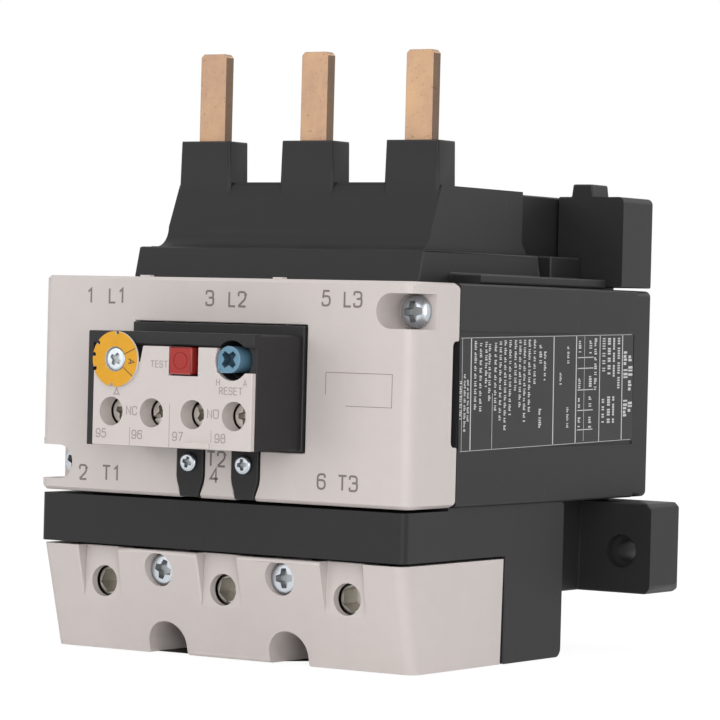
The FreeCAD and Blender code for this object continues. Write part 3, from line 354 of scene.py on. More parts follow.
# ---- mesh tools -------------------------------------------------------------------
FLUSH_COSINE = 0.99999  # of the angle between two faces of one flat area
FLUSH_GAP = 0.0005 * MM  # how far such a face may lie from the first one's plane
SMOOTH_TURN = math.radians(34)  # a sharper edge shows as a crease
ROUND_TURN = math.radians(62)  # the same beside a rounded face
CAD_GAP = 0.002 * MM  # corners of CAD triangles that are nearer than this are one
CAD_TURN = math.radians(1.5)  # CAD triangles that turn less than this are one face
CUT_GAP = 0.001 * MM  # the same gap in what a cut or a tree made
BEVEL_WIDTH = 1.1 * MM  # a wider slant is a face of its own
BEVEL_TURN = (0.6, 1.0)  # how much a bevel turns from each neighbour, in radians
SHARP_TURN = math.radians(30)  # an edge that turns less stays as it is
OUTER_LENGTH = 6 * MM  # a shorter edge isn't a long outer one
OUTER_SLACK = 0.5 * MM  # how far the form may reach past an outer edge's faces
SEAM_COSINE = 0.7  # a face that looks this much to the front or rear meets its neighbour
WIDE_ROOM, ROOM = 1.6, 2.2  # how many roundings the shortest edge at a corner has to hold


def body_of(node):
    return next(body for body, nodes in frame["record"]["behaviour"]["bodies"].items() if node in nodes)


def slot_of(node):
    return next(row["material_slot"] for row in frame["record"]["subparts"] if row["node"] == node)


def flat_areas(bm, apart=()):
    """Groups the faces that lie flush side by side; the ones in apart stay alone."""
    groups, left = [], set(bm.faces)
    while left:
        first = left.pop()
        group = [first]
        normal, centre = first.normal.copy(), first.calc_center_median()
        for face in group:
            for edge in face.edges if first not in apart else ():
                for other in edge.link_faces:
                    flush = (other in left and other not in apart
                             and other.normal.dot(normal) > FLUSH_COSINE)
                    if flush and abs((other.calc_center_median() - centre).dot(normal)) < FLUSH_GAP:
                        left.discard(other)
                        group.append(other)
        groups.append(group)
    return groups


def to_mesh(bm, name):
    """A bmesh as a mesh: flat areas are shaded flat and rounded edges run smoothly into them."""
    bm.normal_update()
    mark = bm.faces.layers.float.get("edge")
    rounded = {face for face in bm.faces if mark and face[mark] > 0.5}
    weight = {}
    for group in flat_areas(bm, rounded):
        whole = (len(weight), sum(face.calc_area() for face in group))
        weight.update((face, whole) for face in group)
    for edge in bm.edges:
        limit = ROUND_TURN if rounded.intersection(edge.link_faces) else SMOOTH_TURN
        edge.smooth = len(edge.link_faces) == 2 and edge.calc_face_angle() < limit
    corners = {}
    for vert in bm.verts:
        left = set(vert.link_faces)
        while left:
            fan = [left.pop()]
            for face in fan:
                for edge in face.edges:
                    if edge.smooth and vert in edge.verts:
                        fan += [other for other in edge.link_faces if other in left]
                        left.difference_update(edge.link_faces)
            firm = {weight[face]: face.normal for face in fan if face not in rounded}
            firm = firm or {weight[face]: face.normal for face in fan}
            total = sum((normal * area for (_, area), normal in firm.items()), Vector()).normalized()
            corners.update(((face, vert), total) for face in fan)
    normals = [corners[face, vert] for face in bm.faces for vert in face.verts]
    for face in bm.faces:
        face.smooth = True
    mesh = bpy.data.meshes.new(name)
    bm.to_mesh(mesh)
    bm.free()
    mesh.normals_split_custom_set(normals)
    return mesh


def piece(name, mesh, body, slot, nodes=(), finishes=()):
    """Shows a mesh as a piece that rides on a body, wears a slot's finish and stands for CAD nodes."""
    obj = bpy.data.objects.new(name, mesh)
    bpy.context.scene.collection.objects.link(obj)
    if finishes or not mesh.materials:
        for k, finish in enumerate(finishes or (slot,)):
            if k < len(mesh.materials):
                mesh.materials[k] = FINISHES[finish]
            else:
                mesh.materials.append(FINISHES[finish])
    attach(obj, body)
    if nodes:
        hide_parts(*nodes)
    return obj


def copied(node):
    """A CAD node's mesh with its loose triangles merged and its flat faces whole."""
    bm = bmesh.new()
    bm.from_mesh(frame["nodes"][node].data)
    bmesh.ops.remove_doubles(bm, verts=bm.verts, dist=CAD_GAP)
    bmesh.ops.dissolve_limit(bm, angle_limit=CAD_TURN, verts=bm.verts, edges=bm.edges)
    return bm


def refill(bm):
    """Fills each flat area again within its outline, so that no hole is bridged by a crossing slit."""
    for group in flat_areas(bm):
        if len(group) == 1 and len(group[0].verts) <= 4:
            continue
        normal = group[0].normal.copy()
        edges = {edge for face in group for edge in face.edges}
        rim = [edge for edge in edges if sum(face in group for face in edge.link_faces) == 1]
        bmesh.ops.delete(bm, geom=group, context="FACES_ONLY")
        for edge in edges.difference(rim):
            bm.edges.remove(edge)
        bmesh.ops.triangle_fill(bm, use_beauty=True, use_dissolve=False, edges=rim, normal=normal)


def outer(edge, bm, seam):
    """Whether a long edge lies on the form's hull, and not round the face that meets its neighbour."""
    if edge.calc_length() < OUTER_LENGTH or any(
            face.normal.y * seam > SEAM_COSINE for face in edge.link_faces):
        return False
    start = edge.verts[0].co
    return all((vert.co - start).dot(face.normal) < OUTER_SLACK
               for face in edge.link_faces for vert in bm.verts)


def bevelled(face):
    """Whether a face is a narrow slant between two others, which shades as a round one."""
    least, most = BEVEL_TURN
    slants = [edge for edge in face.edges
              if len(edge.link_faces) == 2 and least < edge.calc_face_angle() < most]
    width = 2 * face.calc_area() / sum(edge.calc_length() for edge in face.edges)
    return len(slants) >= 2 and width < BEVEL_WIDTH


def soften(bm, radius, wide=0.0, seam=1):
    """Rounds each sharp edge that has room for it, the outer ones wide, and marks its new faces as edge.

    A narrow slant that the form has already is marked a little less.
    """
    mark = bm.faces.layers.float.new("edge")
    for face in [face for face in bm.faces if bevelled(face)]:
        face[mark] = 0.6
    for width in (wide, radius) if wide else (radius,):
        room = {vert: min(edge.calc_length() for edge in vert.link_edges)
                for vert in bm.verts if vert.link_edges}
        least = (WIDE_ROOM if width == wide else ROOM) * width
        chosen = [edge for edge in bm.edges
                  if len(edge.link_faces) == 2 and edge.calc_face_angle() > SHARP_TURN
                  and not any(face[mark] for face in edge.link_faces)
                  and min(room[vert] for vert in edge.verts) > least
                  and (width == radius or outer(edge, bm, seam))]
        made = bmesh.ops.bevel(
            bm, geom=chosen, offset=width, offset_type="OFFSET", profile=0.5, affect="EDGES",
            segments=4 if width == wide else 2, clamp_overlap=False)
        for face in made["faces"]:
            face[mark] = 1.0
        bm.normal_update()
    refill(bm)
    return bm


def shell(node, radius, wide=0.0, seam=1):
    """A CAD node's copy with softened edges, which stands for it."""
    name = node + "_shell"
    return piece(name, to_mesh(soften(copied(node), radius, wide, seam), name), body_of(node),
                 slot_of(node), (node,))


def eased(points, radius, steps=3):
    """A line's points with each inner corner rounded."""
    points = [Vector(point) for point in points]
    out = [points[0]]
    for before, corner, after in zip(points, points[1:], points[2:]):
        reach = min(radius, (before - corner).length / 2, (after - corner).length / 2)
        start = corner + (before - corner).normalized() * reach
        end = corner + (after - corner).normalized() * reach
        for k in range(steps + 1):
            t = k / steps
            out.append(start * (1 - t) ** 2 + corner * 2 * t * (1 - t) + end * t ** 2)
    return out + [points[-1]]


def turned(profile, steps=48):
    """A solid turned about the Y axis from (radius, y) pairs in millimetres, front to rear."""
    bm = bmesh.new()
    rings = []
    for radius, depth in profile:
        angles = [2 * math.pi * k / steps for k in range(steps if radius > 0 else 1)]
        rings.append([bm.verts.new((radius * MM * math.cos(a), depth * MM, radius * MM * math.sin(a)))
                      for a in angles])
    for low, high in zip(rings, rings[1:]):
        for k in range(steps):
            j = k + 1
            corners = [low[k % len(low)], low[j % len(low)], high[j % len(high)], high[k % len(high)]]
            kept = list(dict.fromkeys(corners))
            if len(kept) > 2:
                bm.faces.new(kept)
    bmesh.ops.recalc_face_normals(bm, faces=bm.faces)
    return bm


def prism(outline, front, rear, taper=1.0):
    """A prism along Y from (x, z) points in millimetres; its rear end is scaled by taper."""
    bm = bmesh.new()
    ends = [[bm.verts.new((x * scale * MM, depth * MM, z * scale * MM)) for x, z in outline]
            for depth, scale in ((front, 1.0), (rear, taper))]
    bm.faces.new(ends[0])
    bm.faces.new(ends[1])
    for k in range(len(outline)):
        j = (k + 1) % len(outline)
        bm.faces.new((ends[0][k], ends[0][j], ends[1][j], ends[1][k]))
    bmesh.ops.recalc_face_normals(bm, faces=bm.faces)
    return bm


def evaluated(obj):
    """The object's mesh with its modifiers in it."""
    graph = bpy.context.evaluated_depsgraph_get()
    return bpy.data.meshes.new_from_object(
        obj.evaluated_get(graph), preserve_all_data_layers=True, depsgraph=graph)


def scratch(mesh, name="scratch"):
    """An object that is only there while a modifier works on it or with it."""
    obj = bpy.data.objects.new(name, mesh)
    bpy.context.scene.collection.objects.link(obj)
    return obj


def welded(mesh):
    """The mesh as a bmesh with its seams closed."""
    bm = bmesh.new()
    bm.from_mesh(mesh)
    bmesh.ops.remove_doubles(bm, verts=bm.verts, dist=CUT_GAP)
    return bm


def carved(mesh, *cutters):
    """The mesh less the cutters."""
    obj = scratch(mesh)
    tools = [scratch(cutter) for cutter in cutters]
    for tool in tools:
        cut = obj.modifiers.new("cut", "BOOLEAN")
        cut.operation = "DIFFERENCE"
        cut.solver = "EXACT"
        cut.object = tool
    result = evaluated(obj)
    for each in (obj, *tools):
        bpy.data.objects.remove(each)
    return to_mesh(welded(result), mesh.name + "_cut")


def moved(mesh, place):
    mesh.transform(Matrix.Translation(place))
    return mesh


# ---- geometry node trees --------------------------------------------------------------
class Tree:
    """A Geometry Nodes tree with named inputs, built node by node."""

    def __init__(self, name, **inputs):
        self.group = bpy.data.node_groups.new(name, "GeometryNodeTree")
        face = self.group.interface
        face.new_socket("Geometry", in_out="INPUT", socket_type="NodeSocketGeometry")
        self.inputs = {}
        for label, (kind, value) in inputs.items():
            made = face.new_socket(label.replace("_", " "), in_out="INPUT",
                                   socket_type="NodeSocket" + kind)
            if value is not None:
                made.default_value = value
            self.inputs[label] = made.identifier
        face.new_socket("Geometry", in_out="OUTPUT", socket_type="NodeSocketGeometry")
        self.start = self.group.nodes.new("NodeGroupInput")
        self.end = self.group.nodes.new("NodeGroupOutput")

    def input(self, label):
        return next(out for out in self.start.outputs if out.identifier == self.inputs[label])

    def add(self, kind, settings=None, sockets=None, output=0):
        made = self.group.nodes.new(kind)
        for key, value in (settings or {}).items():
            setattr(made, key, value)
        for key, value in (sockets or {}).items():
            if isinstance(value, bpy.types.NodeSocket):
                self.group.links.new(value, made.inputs[key])
            else:
                made.inputs[key].default_value = value
        return made.outputs[output]

    def attribute(self, name, kind="FLOAT_VECTOR"):
        return self.add("GeometryNodeInputNamedAttribute", {"data_type": kind}, {"Name": name})

    def finish(self, geometry, inner=False):
        """Realizes what the tree made, gives it its finish, paints its recesses darker as shade with a finish of
        their own, and ends the tree.
        """
        whole = self.add("GeometryNodeRealizeInstances", None, {0: geometry})
        finished = self.add("GeometryNodeSetMaterial", None, {
            0: whole, "Material": self.input("Finish")})
        if inner:
            finished = self.add("GeometryNodeSetMaterial", None, {
                0: finished, "Selection": self.attribute("recess", "BOOLEAN"),
                "Material": self.input("Inner_finish")})
        self.group.links.new(finished, self.end.inputs[0])
        return self

    def run(self, mesh, **values):
        """The mesh that the tree makes of a mesh with these inputs."""
        obj = scratch(mesh)
        modifier = obj.modifiers.new(self.group.name, "NODES")
        modifier.node_group = self.group
        for label, value in values.items():
            modifier[self.inputs[label]] = value
        obj.update_tag()
        result = evaluated(obj)
        obj.modifiers.remove(modifier)
        bpy.data.objects.remove(obj)
        return result


def points_mesh(name, rows):
    """Loose points with a size and a turn each: rows of (place, size, turn)."""
    mesh = bpy.data.meshes.new(name)
    mesh.from_pydata([row[0] for row in rows], [], [])
    for label, column in (("size", 1), ("turn", 2)):
        layer = mesh.attributes.new(label, "FLOAT_VECTOR", "POINT")
        layer.data.foreach_set("vector", [value for row in rows for value in row[column]])
    return mesh


def bars_tree():
    """A bar on each point, as long as its size and turned as its turn says."""
    tree = Tree("Bars on points", Share=("Float", 1.0), Finish=("Material", None))
    cube = tree.add("GeometryNodeMeshCube", None, {"Size": (1, 1, 1)})
    scaled = tree.add("ShaderNodeVectorMath", {"operation": "SCALE"}, {
        0: tree.attribute("size"), "Scale": tree.input("Share")})
    return tree.finish(tree.add("GeometryNodeInstanceOnPoints", None, {
        "Points": tree.start.outputs[0], "Instance": cube, "Rotation": tree.attribute("turn"),
        "Scale": scaled}))


def screws_tree():
    """A screw on each point, each turned by chance about its own axis."""
    tree = Tree("Screws on points", Screw=("Object", None), Share=("Float", 1.0), Turn_seed=("Int", 0),
                Finish=("Material", None), Inner_finish=("Material", None))
    screw = tree.add("GeometryNodeObjectInfo", {"transform_space": "ORIGINAL"},
                     {"Object": tree.input("Screw")}, output="Geometry")
    angle = tree.add("FunctionNodeRandomValue", {"data_type": "FLOAT_VECTOR"},
                     {0: (0, -math.pi, 0), 1: (0, math.pi, 0), "Seed": tree.input("Turn_seed")})
    return tree.finish(tree.add("GeometryNodeInstanceOnPoints", None, {
        "Points": tree.start.outputs[0], "Instance": screw, "Rotation": angle,
        "Scale": tree.input("Share")}), True)


def coil_tree():
    """A round wire wound along +Y from the origin: a spring, or the ridge of a thread."""
    tree = Tree("Coil", Radius=("Float", MM), Length=("Float", MM), Turns=("Float", 3.0),
                Wire=("Float", MM), Sides=("Int", 8), Finish=("Material", None))
    line = tree.add("GeometryNodeCurveSpiral", None, {
        "Resolution": 24, "Rotations": tree.input("Turns"), "Start Radius": tree.input("Radius"),
        "End Radius": tree.input("Radius"), "Height": tree.input("Length")})
    section = tree.add("GeometryNodeCurvePrimitiveCircle", None,
                       {"Resolution": tree.input("Sides"), "Radius": tree.input("Wire")})
    tube = tree.add("GeometryNodeCurveToMesh", None, {
        "Curve": line, "Profile Curve": section, "Fill Caps": True})
    laid = tree.add("GeometryNodeTransform", None, {
        "Geometry": tube, "Rotation": (-math.pi / 2, 0, 0)})
    return tree.finish(tree.add("GeometryNodeJoinGeometry", None, {0: laid}))


TREE_MAKERS = {"bars": bars_tree, "screws": screws_tree, "coil": coil_tree}
TREES = {}


def tree(name):
    """A tree by its name, built once."""
    if name not in TREES:
        TREES[name] = TREE_MAKERS[name]()
    return TREES[name]


def bars(name, rows, body, slot, ink, place=None):
    """Thin printed bars as one piece, from rows of (middle, size, turn)."""
    mesh = tree("bars").run(points_mesh(name, rows), Share=1.0, Finish=FINISHES[ink])
    if place:
        mesh.transform(place)
    return piece(name, mesh, body, slot)


# ---- screws ---------------------------------------------------------------------------
def star(arm, width):
    """The outline of a star-shaped cross recess: four broad arms with short points between them."""
    x, z = arm, 0.42 * width
    u = w = 0.62 * width
    points = []
    for k in range(4):
        c, s = math.cos(k * math.pi / 2), math.sin(k * math.pi / 2)
        points += [(x * c + z * s, x * s - z * c), (x * c - z * s, x * s + z * c),
                   (u * c - w * s, u * s + w * c)]
    return points


def screw(radius, height, shank, length, flat=0.0, slot=False):
    """A cross-recessed screw, its face at the origin, in millimetres; flat is its head's flat share."""
    outline = [(0, 0), (radius * (0.72 + 0.2 * flat), 0.04 * height),
               (radius, (0.42 - 0.3 * flat) * height), (radius, height), (shank, height),
               (shank, length - 0.4), (shank - 0.4, length), (0, length)]
    head = to_mesh(turned(eased(outline, (0.35 - 0.2 * flat) * radius)), "screw_head")
    depth = 0.78 * height
    arm = radius * 0.68
    cutters = [prism(star(arm, radius * 0.46), -0.5, depth, 0.72)]
    if slot:
        x, z = radius * 1.1, radius * 0.13
        cutters.append(prism([(-x, -z), (x, -z), (x, z), (-x, z)], -0.5, depth * 0.6))
    mesh = carved(head, *[to_mesh(cutter, "recess") for cutter in cutters])
    # faces of the cross recess, which take the darker finish as painted shade
    recess = mesh.attributes.new("recess", "BOOLEAN", "FACE")
    for face, flag in zip(mesh.polygons, recess.data):
        out = math.hypot(face.center.x, face.center.z) / MM
        flag.value = out < arm and 0.06 * height < face.center.y / MM < 0.95 * height
    return mesh


# inner names the darker finish of the cross recess, which is painted shade
def screw_set(name, template, places, body, nodes, seed, finish="zinc_steel", inner="recess_steel"):
    """Like screws on the given places, as one piece."""
    original = scratch(template, "screw_template")
    points = points_mesh(name, [(place, (1, 1, 1), (0, 0, 0)) for place in places])
    mesh = tree("screws").run(points, Screw=original, Share=1.0, Turn_seed=seed, Finish=FINISHES[finish],
                              Inner_finish=FINISHES[inner])
    bpy.data.objects.remove(original)
    return piece(name, mesh, body, "zinc_steel", nodes)


def two_heads(node, radius):
    """The face middles of two like screws whose node's box reaches from one to the other."""
    low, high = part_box(node)
    reach = radius * MM
    left, right = low.z + reach, high.z - reach
    if high.z - low.z < 2.5 * reach:  # both at one height
        left = right = (high.z + low.z) / 2
    return [Vector((low.x + reach, low.y, left)), Vector((high.x - reach, low.y, right))]


# ---- operators ------------------------------------------------------------------------
class RelayOperator:
    """What the relay's operators share: they need the CAD frame in the scene."""

    bl_options = {"REGISTER", "UNDO"}

    @classmethod
    def poll(cls, context):
        return bool(frame["nodes"])

    def execute(self, context):
        self.build(context.scene.relay_sizes)
        return {"FINISHED"}


class RELAY_OT_finishes(RelayOperator, bpy.types.Operator):
    """Make the finishes and paint the CAD nodes that stay in view"""

    bl_idname = "relay.finishes"
    bl_label = "Finishes"

    def execute(self, context):
        make_finishes(context.scene.relay_colours)
        for name, node in frame["nodes"].items():
            node.data.materials.clear()
            node.data.materials.append(FINISHES[slot_of(name)])
        return {"FINISHED"}


class RELAY_OT_covers(RelayOperator, bpy.types.Operator):
    """Build the light front cover and the terminal cover"""

    bl_idname = "relay.covers"
    bl_label = "Covers"

    def build(self, sizes):
        for node in ("front_cover", "lower_terminal_cover"):
            shell(node, sizes.moulded_edge, wide=sizes.outer_edge)


class RELAY_OT_housings(RelayOperator, bpy.types.Operator):
    """Build the black housings, the base and the shroud"""

    bl_idname = "relay.housings"
    bl_label = "Housings"

    def build(self, sizes):
        for node in ("main_housing", "mounting_base", "top_shroud", "lower_terminal_housing"):
            shell(node, sizes.moulded_edge, wide=0.8 * sizes.outer_edge, seam=-1)


class RELAY_OT_auxiliary_module(RelayOperator, bpy.types.Operator):
    """Build the auxiliary module's body and its light face plate"""

    bl_idname = "relay.auxiliary_module"
    bl_label = "Auxiliary module"

    def build(self, sizes):
        shell("aux_module_body", 0.6 * sizes.moulded_edge)
        shell("aux_face_plate", 0.45 * sizes.moulded_edge)


class RELAY_OT_bars(RelayOperator, bpy.types.Operator):
    """Build the copper line bars and load bars"""

    bl_idname = "relay.bars"
    bl_label = "Copper bars"

    def build(self, sizes):
        for pole in POLES:
            bar = shell(f"line_bar_{pole}", sizes.metal_edge)
            # the faces that look left or right take the darker copper copy: painted shade on the bars' sides
            bar.data.materials.append(FINISHES["copper_painted_shade"])
            for face in bar.data.polygons:
                face.material_index = int(abs(face.normal.x) > 0.8)
            shell(f"load_bar_{pole}", sizes.metal_edge)


class RELAY_OT_clamps(RelayOperator, bpy.types.Operator):
    """Build the box clamps with their socket screws"""

    bl_idname = "relay.clamps"
    bl_label = "Box clamps"
    # millimetres
    face_radius = 3.05
    tip_radius = 2.5
    socket_width = 5.0
    socket_depth = 5.4
    thread_depth = 0.3
    thread_start = 1.6
    plain_length = 5.2

    def build(self, sizes):
        for pole in POLES:
            shell(f"clamp_cage_{pole}", sizes.metal_edge)
            shell(f"clamp_pad_{pole}", sizes.metal_edge)
            self.screw(pole, sizes)

    def screw(self, pole, sizes):
        """A turned screw with its hexagon socket and the ridge of its thread."""
        node = f"clamp_screw_{pole}"
        low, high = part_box(node)
        core = (high.x - low.x) / 2 / MM - self.thread_depth
        length = (high.y - low.y) / MM
        face, tip = self.face_radius, self.tip_radius
        outline = [(0, 0), (face, 0), (core, core - face + 0.1), (core, length - 2.6), (tip, length - 1.7),
                   (tip, length - 0.3), (tip - 0.3, length), (0, length)]
        body = to_mesh(turned(eased(outline, 0.2)), node + "_turned")
        corner = self.socket_width / math.sqrt(3)
        angles = [math.radians(60 * k + 8 * pole) for k in range(6)]
        hexagon = [(corner * math.cos(angle), corner * math.sin(angle)) for angle in angles]
        funnel = turned([(0, -1), (3.6, -1), (2.75, 0.3), (0, 0.3)])
        body = carved(body, to_mesh(prism(hexagon, -1, self.socket_depth), "socket"),
                      to_mesh(funnel, "funnel"))
        threaded = (length - self.plain_length) * MM
        ridge = tree("coil").run(bpy.data.meshes.new(node), Radius=(core + 0.02) * MM, Length=threaded,
                                 Turns=threaded / sizes.clamp_pitch, Wire=0.28 * MM, Sides=4,
                                 Finish=FINISHES["clamp_steel"])
        moved(ridge, Vector((0, self.thread_start * MM, 0)))
        bm = bmesh.new()
        bm.from_mesh(body)
        bm.from_mesh(ridge)
        centre = middle(node)
        mesh = moved(to_mesh(bm, node + "_threaded"), Vector((centre.x, low.y, centre.z)))
        piece(node + "_threaded", mesh, body_of(node), "clamp_steel", (node,))


class RELAY_OT_control_terminals(RelayOperator, bpy.types.Operator):
    """Build the four control terminals: slotted cross screws, washers and contact plates"""

    bl_idname = "relay.control_terminals"
    bl_label = "Control terminals"
    # millimetres; forward is how far the heads stand before the CAD ones
    head_height = 2.2
    shank_radius = 1.7
    forward = 0.5

    def build(self, sizes):
        for k in CONTROLS:
            node = f"aux_screw_{k}"
            low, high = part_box(node)
            centre = middle(node)
            template = screw((high.x - low.x) / 2 / MM, self.head_height, self.shank_radius,
                             (high.y - low.y) / MM, flat=1.0, slot=True)
            face = Vector((centre.x, low.y - self.forward * MM, centre.z))
            # the cross recesses of these screws wear the darker clamp steel as painted shade
            screw_set(node + "_slotted", template, [face], body_of(node), (node,), sizes.screw_turn + k,
                      "terminal_steel", "clamp_steel")
            shell(f"aux_clamp_{k}", 0.8 * sizes.metal_edge)
        shell("aux_terminal_plates", 0.6 * sizes.metal_edge)


class RELAY_OT_cover_screws(RelayOperator, bpy.types.Operator):
    """Build the screws of the covers and of the module's tongues"""

    bl_idname = "relay.cover_screws"
    bl_label = "Cover screws"
    # node, then the head's radius and height, the shank's radius and the head's flat share
    kinds = (("cover_screws", 3.55, 2.1, 1.55, 0.0), ("terminal_cover_screws", 3.3, 1.9, 1.45, 0.8),
             ("tongue_screws", 2.0, 1.0, 1.15, 0.5))

    def build(self, sizes):
        for node, radius, height, shank, flat in self.kinds:
            low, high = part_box(node)
            template = screw(radius, height, shank, (high.y - low.y) / MM, flat)
            screw_set(node + "_set", template, two_heads(node, radius), STATIC, (node,), sizes.screw_turn)


class RELAY_OT_dial(RelayOperator, bpy.types.Operator):
    """Build the setting dial with its notches, its marked sector and its screw"""

    bl_idname = "relay.dial"
    bl_label = "Setting dial"
    # degrees
    notches = (86, 143, 171, 201, 262)
    sector = (-37, 24)
    unit_angle = -6
    # millimetres
    hub = 2.6
    boss = 3.6
    notch = 0.46
    unit_radius = 4.3
    screw_sizes = (2.35, 0.65, 1.05)
    screw_seed = 2

    def build(self, sizes):
        low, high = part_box("setting_dial")
        radius = (high.x - low.x) / 2 / MM
        centre = middle("setting_dial")
        face = Vector((centre.x, low.y, centre.z))
        rear = (high.y - low.y) / MM
        hub, boss = self.hub, self.boss
        outline = [(0, 0.9), (hub, 0.9), (hub, 0), (radius, 0), (radius, 0.6), (boss, 0.6), (boss, 3.3),
                   (1.9, 3.3), (1.9, rear), (0, rear)]
        disc = to_mesh(turned(eased(outline, 0.08, 2), 72), "setting_dial_turned")
        bites = []
        for angle in self.notches:
            bite = to_mesh(turned([(0, -1), (self.notch, -1), (self.notch, 2), (0, 2)], 16), "bite")
            bites.append(moved(bite, self.out(angle, (radius - 0.3) * MM)))
        disc = carved(disc, *bites)
        for side in disc.polygons:
            out = math.hypot(side.center.x, side.center.z)
            side.material_index = 0 if side.center.y < 0.03 * MM and hub * MM < out else 1
        moved(disc, face)
        piece("setting_dial_disc", disc, "dial", "yellow_plastic", ("setting_dial",),
              ("yellow_plastic", "dial_rim"))
        self.marks(face, radius, sizes)
        head_low, head_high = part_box("dial_screw")
        template = screw(*self.screw_sizes, (head_high.y - head_low.y) / MM, flat=0.8)
        screw_set("dial_screw_head", template, [Vector((centre.x, head_low.y, centre.z))], "dial",
                  ("dial_screw",), self.screw_seed)

    def out(self, angle, reach, depth=0):
        """A point of the dial's face, by its angle in degrees and its distance from the axis."""
        turn = math.radians(angle)
        return Vector((reach * math.cos(turn), depth, reach * math.sin(turn)))

    def marks(self, face, radius, sizes):
        """The two lines of the marked sector and the unit between them."""
        ink = sizes.ink_thickness
        reach = (2.75 + radius - 0.1) / 2 * MM
        size = ((radius - 2.85) * MM, ink, 0.2 * MM)
        bars("dial_sector_lines", [
            (face + self.out(angle, reach, -ink / 2), size, (0, -math.radians(angle), 0))
            for angle in self.sector], "dial", "yellow_plastic", "brown_ink")
        mark("A", face + self.out(self.unit_angle, self.unit_radius * MM), 1.5 * MM, sizes, "dial",
             "yellow_plastic", "dial_unit", spin=96, weight=0.17, ink="brown_ink")


class RELAY_OT_buttons(RelayOperator, bpy.types.Operator):
    """Build the test button, the reset knob, their stem and their springs"""

    bl_idname = "relay.buttons"
    bl_label = "Buttons"
    # millimetres: how far the faces stand behind the CAD ones, and what is cut into them
    test_set_back = 2.2
    reset_set_back = 2.9
    cap_length = 1.5
    ring = ((1.5, -1), (1.9, -1), (1.76, 0.14), (1.64, 0.14), (1.5, -1))
    dot = ((0, -1), (0.22, -1), (0.22, 0.18), (0, 0.18))
    dot_place = -2.05
    recess_arm = 2.0
    recess_depth = 2.2

    def build(self, sizes):
        self.test()
        self.reset()
        shell("reset_stem", 0.1 * MM)
        for node, joint in (("test_spring", "test_press"), ("reset_spring", "reset_press")):
            self.spring(node, joint)

    def test(self):
        """The red button with its shallow ring."""
        cap = to_mesh(soften(self.set_back("test_button", self.test_set_back), 0.25 * MM), "test_button_cap")
        centre = middle("test_button")
        centre.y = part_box("test_button")[0].y + self.test_set_back * MM
        ring = moved(to_mesh(turned(self.ring), "ring"), centre)
        piece("test_button_cap", carved(cap, ring), "test", "red_plastic", ("test_button",))

    def reset(self):
        """The blue knob with its recess, painted darker inside as shade, and the dot that shows where it stands.
        """
        knob = to_mesh(soften(self.set_back("reset_knob", self.reset_set_back), 0.12 * MM), "reset_knob_cap")
        axis = middle("reset_stem")
        axis.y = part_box("reset_knob")[0].y + self.reset_set_back * MM
        dot = to_mesh(turned(self.dot, 16), "dot")
        moved(dot, axis + Vector((self.dot_place * MM, 0, self.dot_place * MM)))
        recess = to_mesh(prism(star(self.recess_arm, 1.3), -1, self.recess_depth, 0.9), "reset_recess")
        recess.transform(Matrix.Rotation(math.radians(45), 4, "Y"))
        cap = carved(knob, dot, moved(recess, axis))
        # faces inside the recess take the darker blue: painted shade
        for face in cap.polygons:
            out = Vector((face.center.x - axis.x, face.center.z - axis.z)).length
            depth = face.center.y - axis.y
            face.material_index = int(out < (self.recess_arm + 0.1) * MM
                                      and 0.02 * MM < depth < (self.recess_depth + 0.3) * MM)
        piece("reset_knob_cap", cap, "reset", "blue_plastic", ("reset_knob",), ("blue_plastic", "blue_painted_shade"))

    def set_back(self, node, depth):
        """The node's copy with what is near its face moved back by a depth in millimetres."""
        bm = copied(node)
        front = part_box(node)[0].y
        for vert in bm.verts:
            if vert.co.y < front + self.cap_length * MM:
                vert.co.y += depth * MM
        return bm

    def spring(self, node, joint):
        """A coil of spring wire in the spring's box."""
        low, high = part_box(node)
        wire = 0.18 * MM
        length = high.y - low.y
        mesh = tree("coil").run(bpy.data.meshes.new(node), Radius=(high.x - low.x) / 2 - wire,
                                Length=length - 2 * wire, Turns=4.5, Wire=wire, Sides=8,
                                Finish=FINISHES["spring_steel"])
        centre = middle(node)
        bm = welded(moved(mesh, Vector((centre.x, low.y + wire, centre.z))))
        bmesh.ops.recalc_face_normals(bm, faces=bm.faces)
        coil = piece(node + "_coil", to_mesh(bm, node + "_coil"), STATIC, "spring_steel", (node,))
        travel = next(row for row in frame["joints"] if row["name"] == joint)["range_m"][1]
        max(0.05, 1 - travel / length)
        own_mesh(coil)


class RELAY_OT_mechanism(RelayOperator, bpy.types.Operator):
    """Build the trip mechanism, the contacts and the heated strips"""

    bl_idname = "relay.mechanism"
    bl_label = "Mechanism"

    def build(self, sizes):
        for node in ("trip_slider", "phase_loss_slider", "compensation_lever", "trip_lever",
                     "contact_carrier", "moving_contacts", "mechanism_plate", "dial_cam"):
            shell(node, sizes.metal_edge)
        for pole in POLES:
            shell(f"bimetal_{pole}", 0.7 * sizes.metal_edge)
            shell(f"heater_{pole}", sizes.metal_edge)


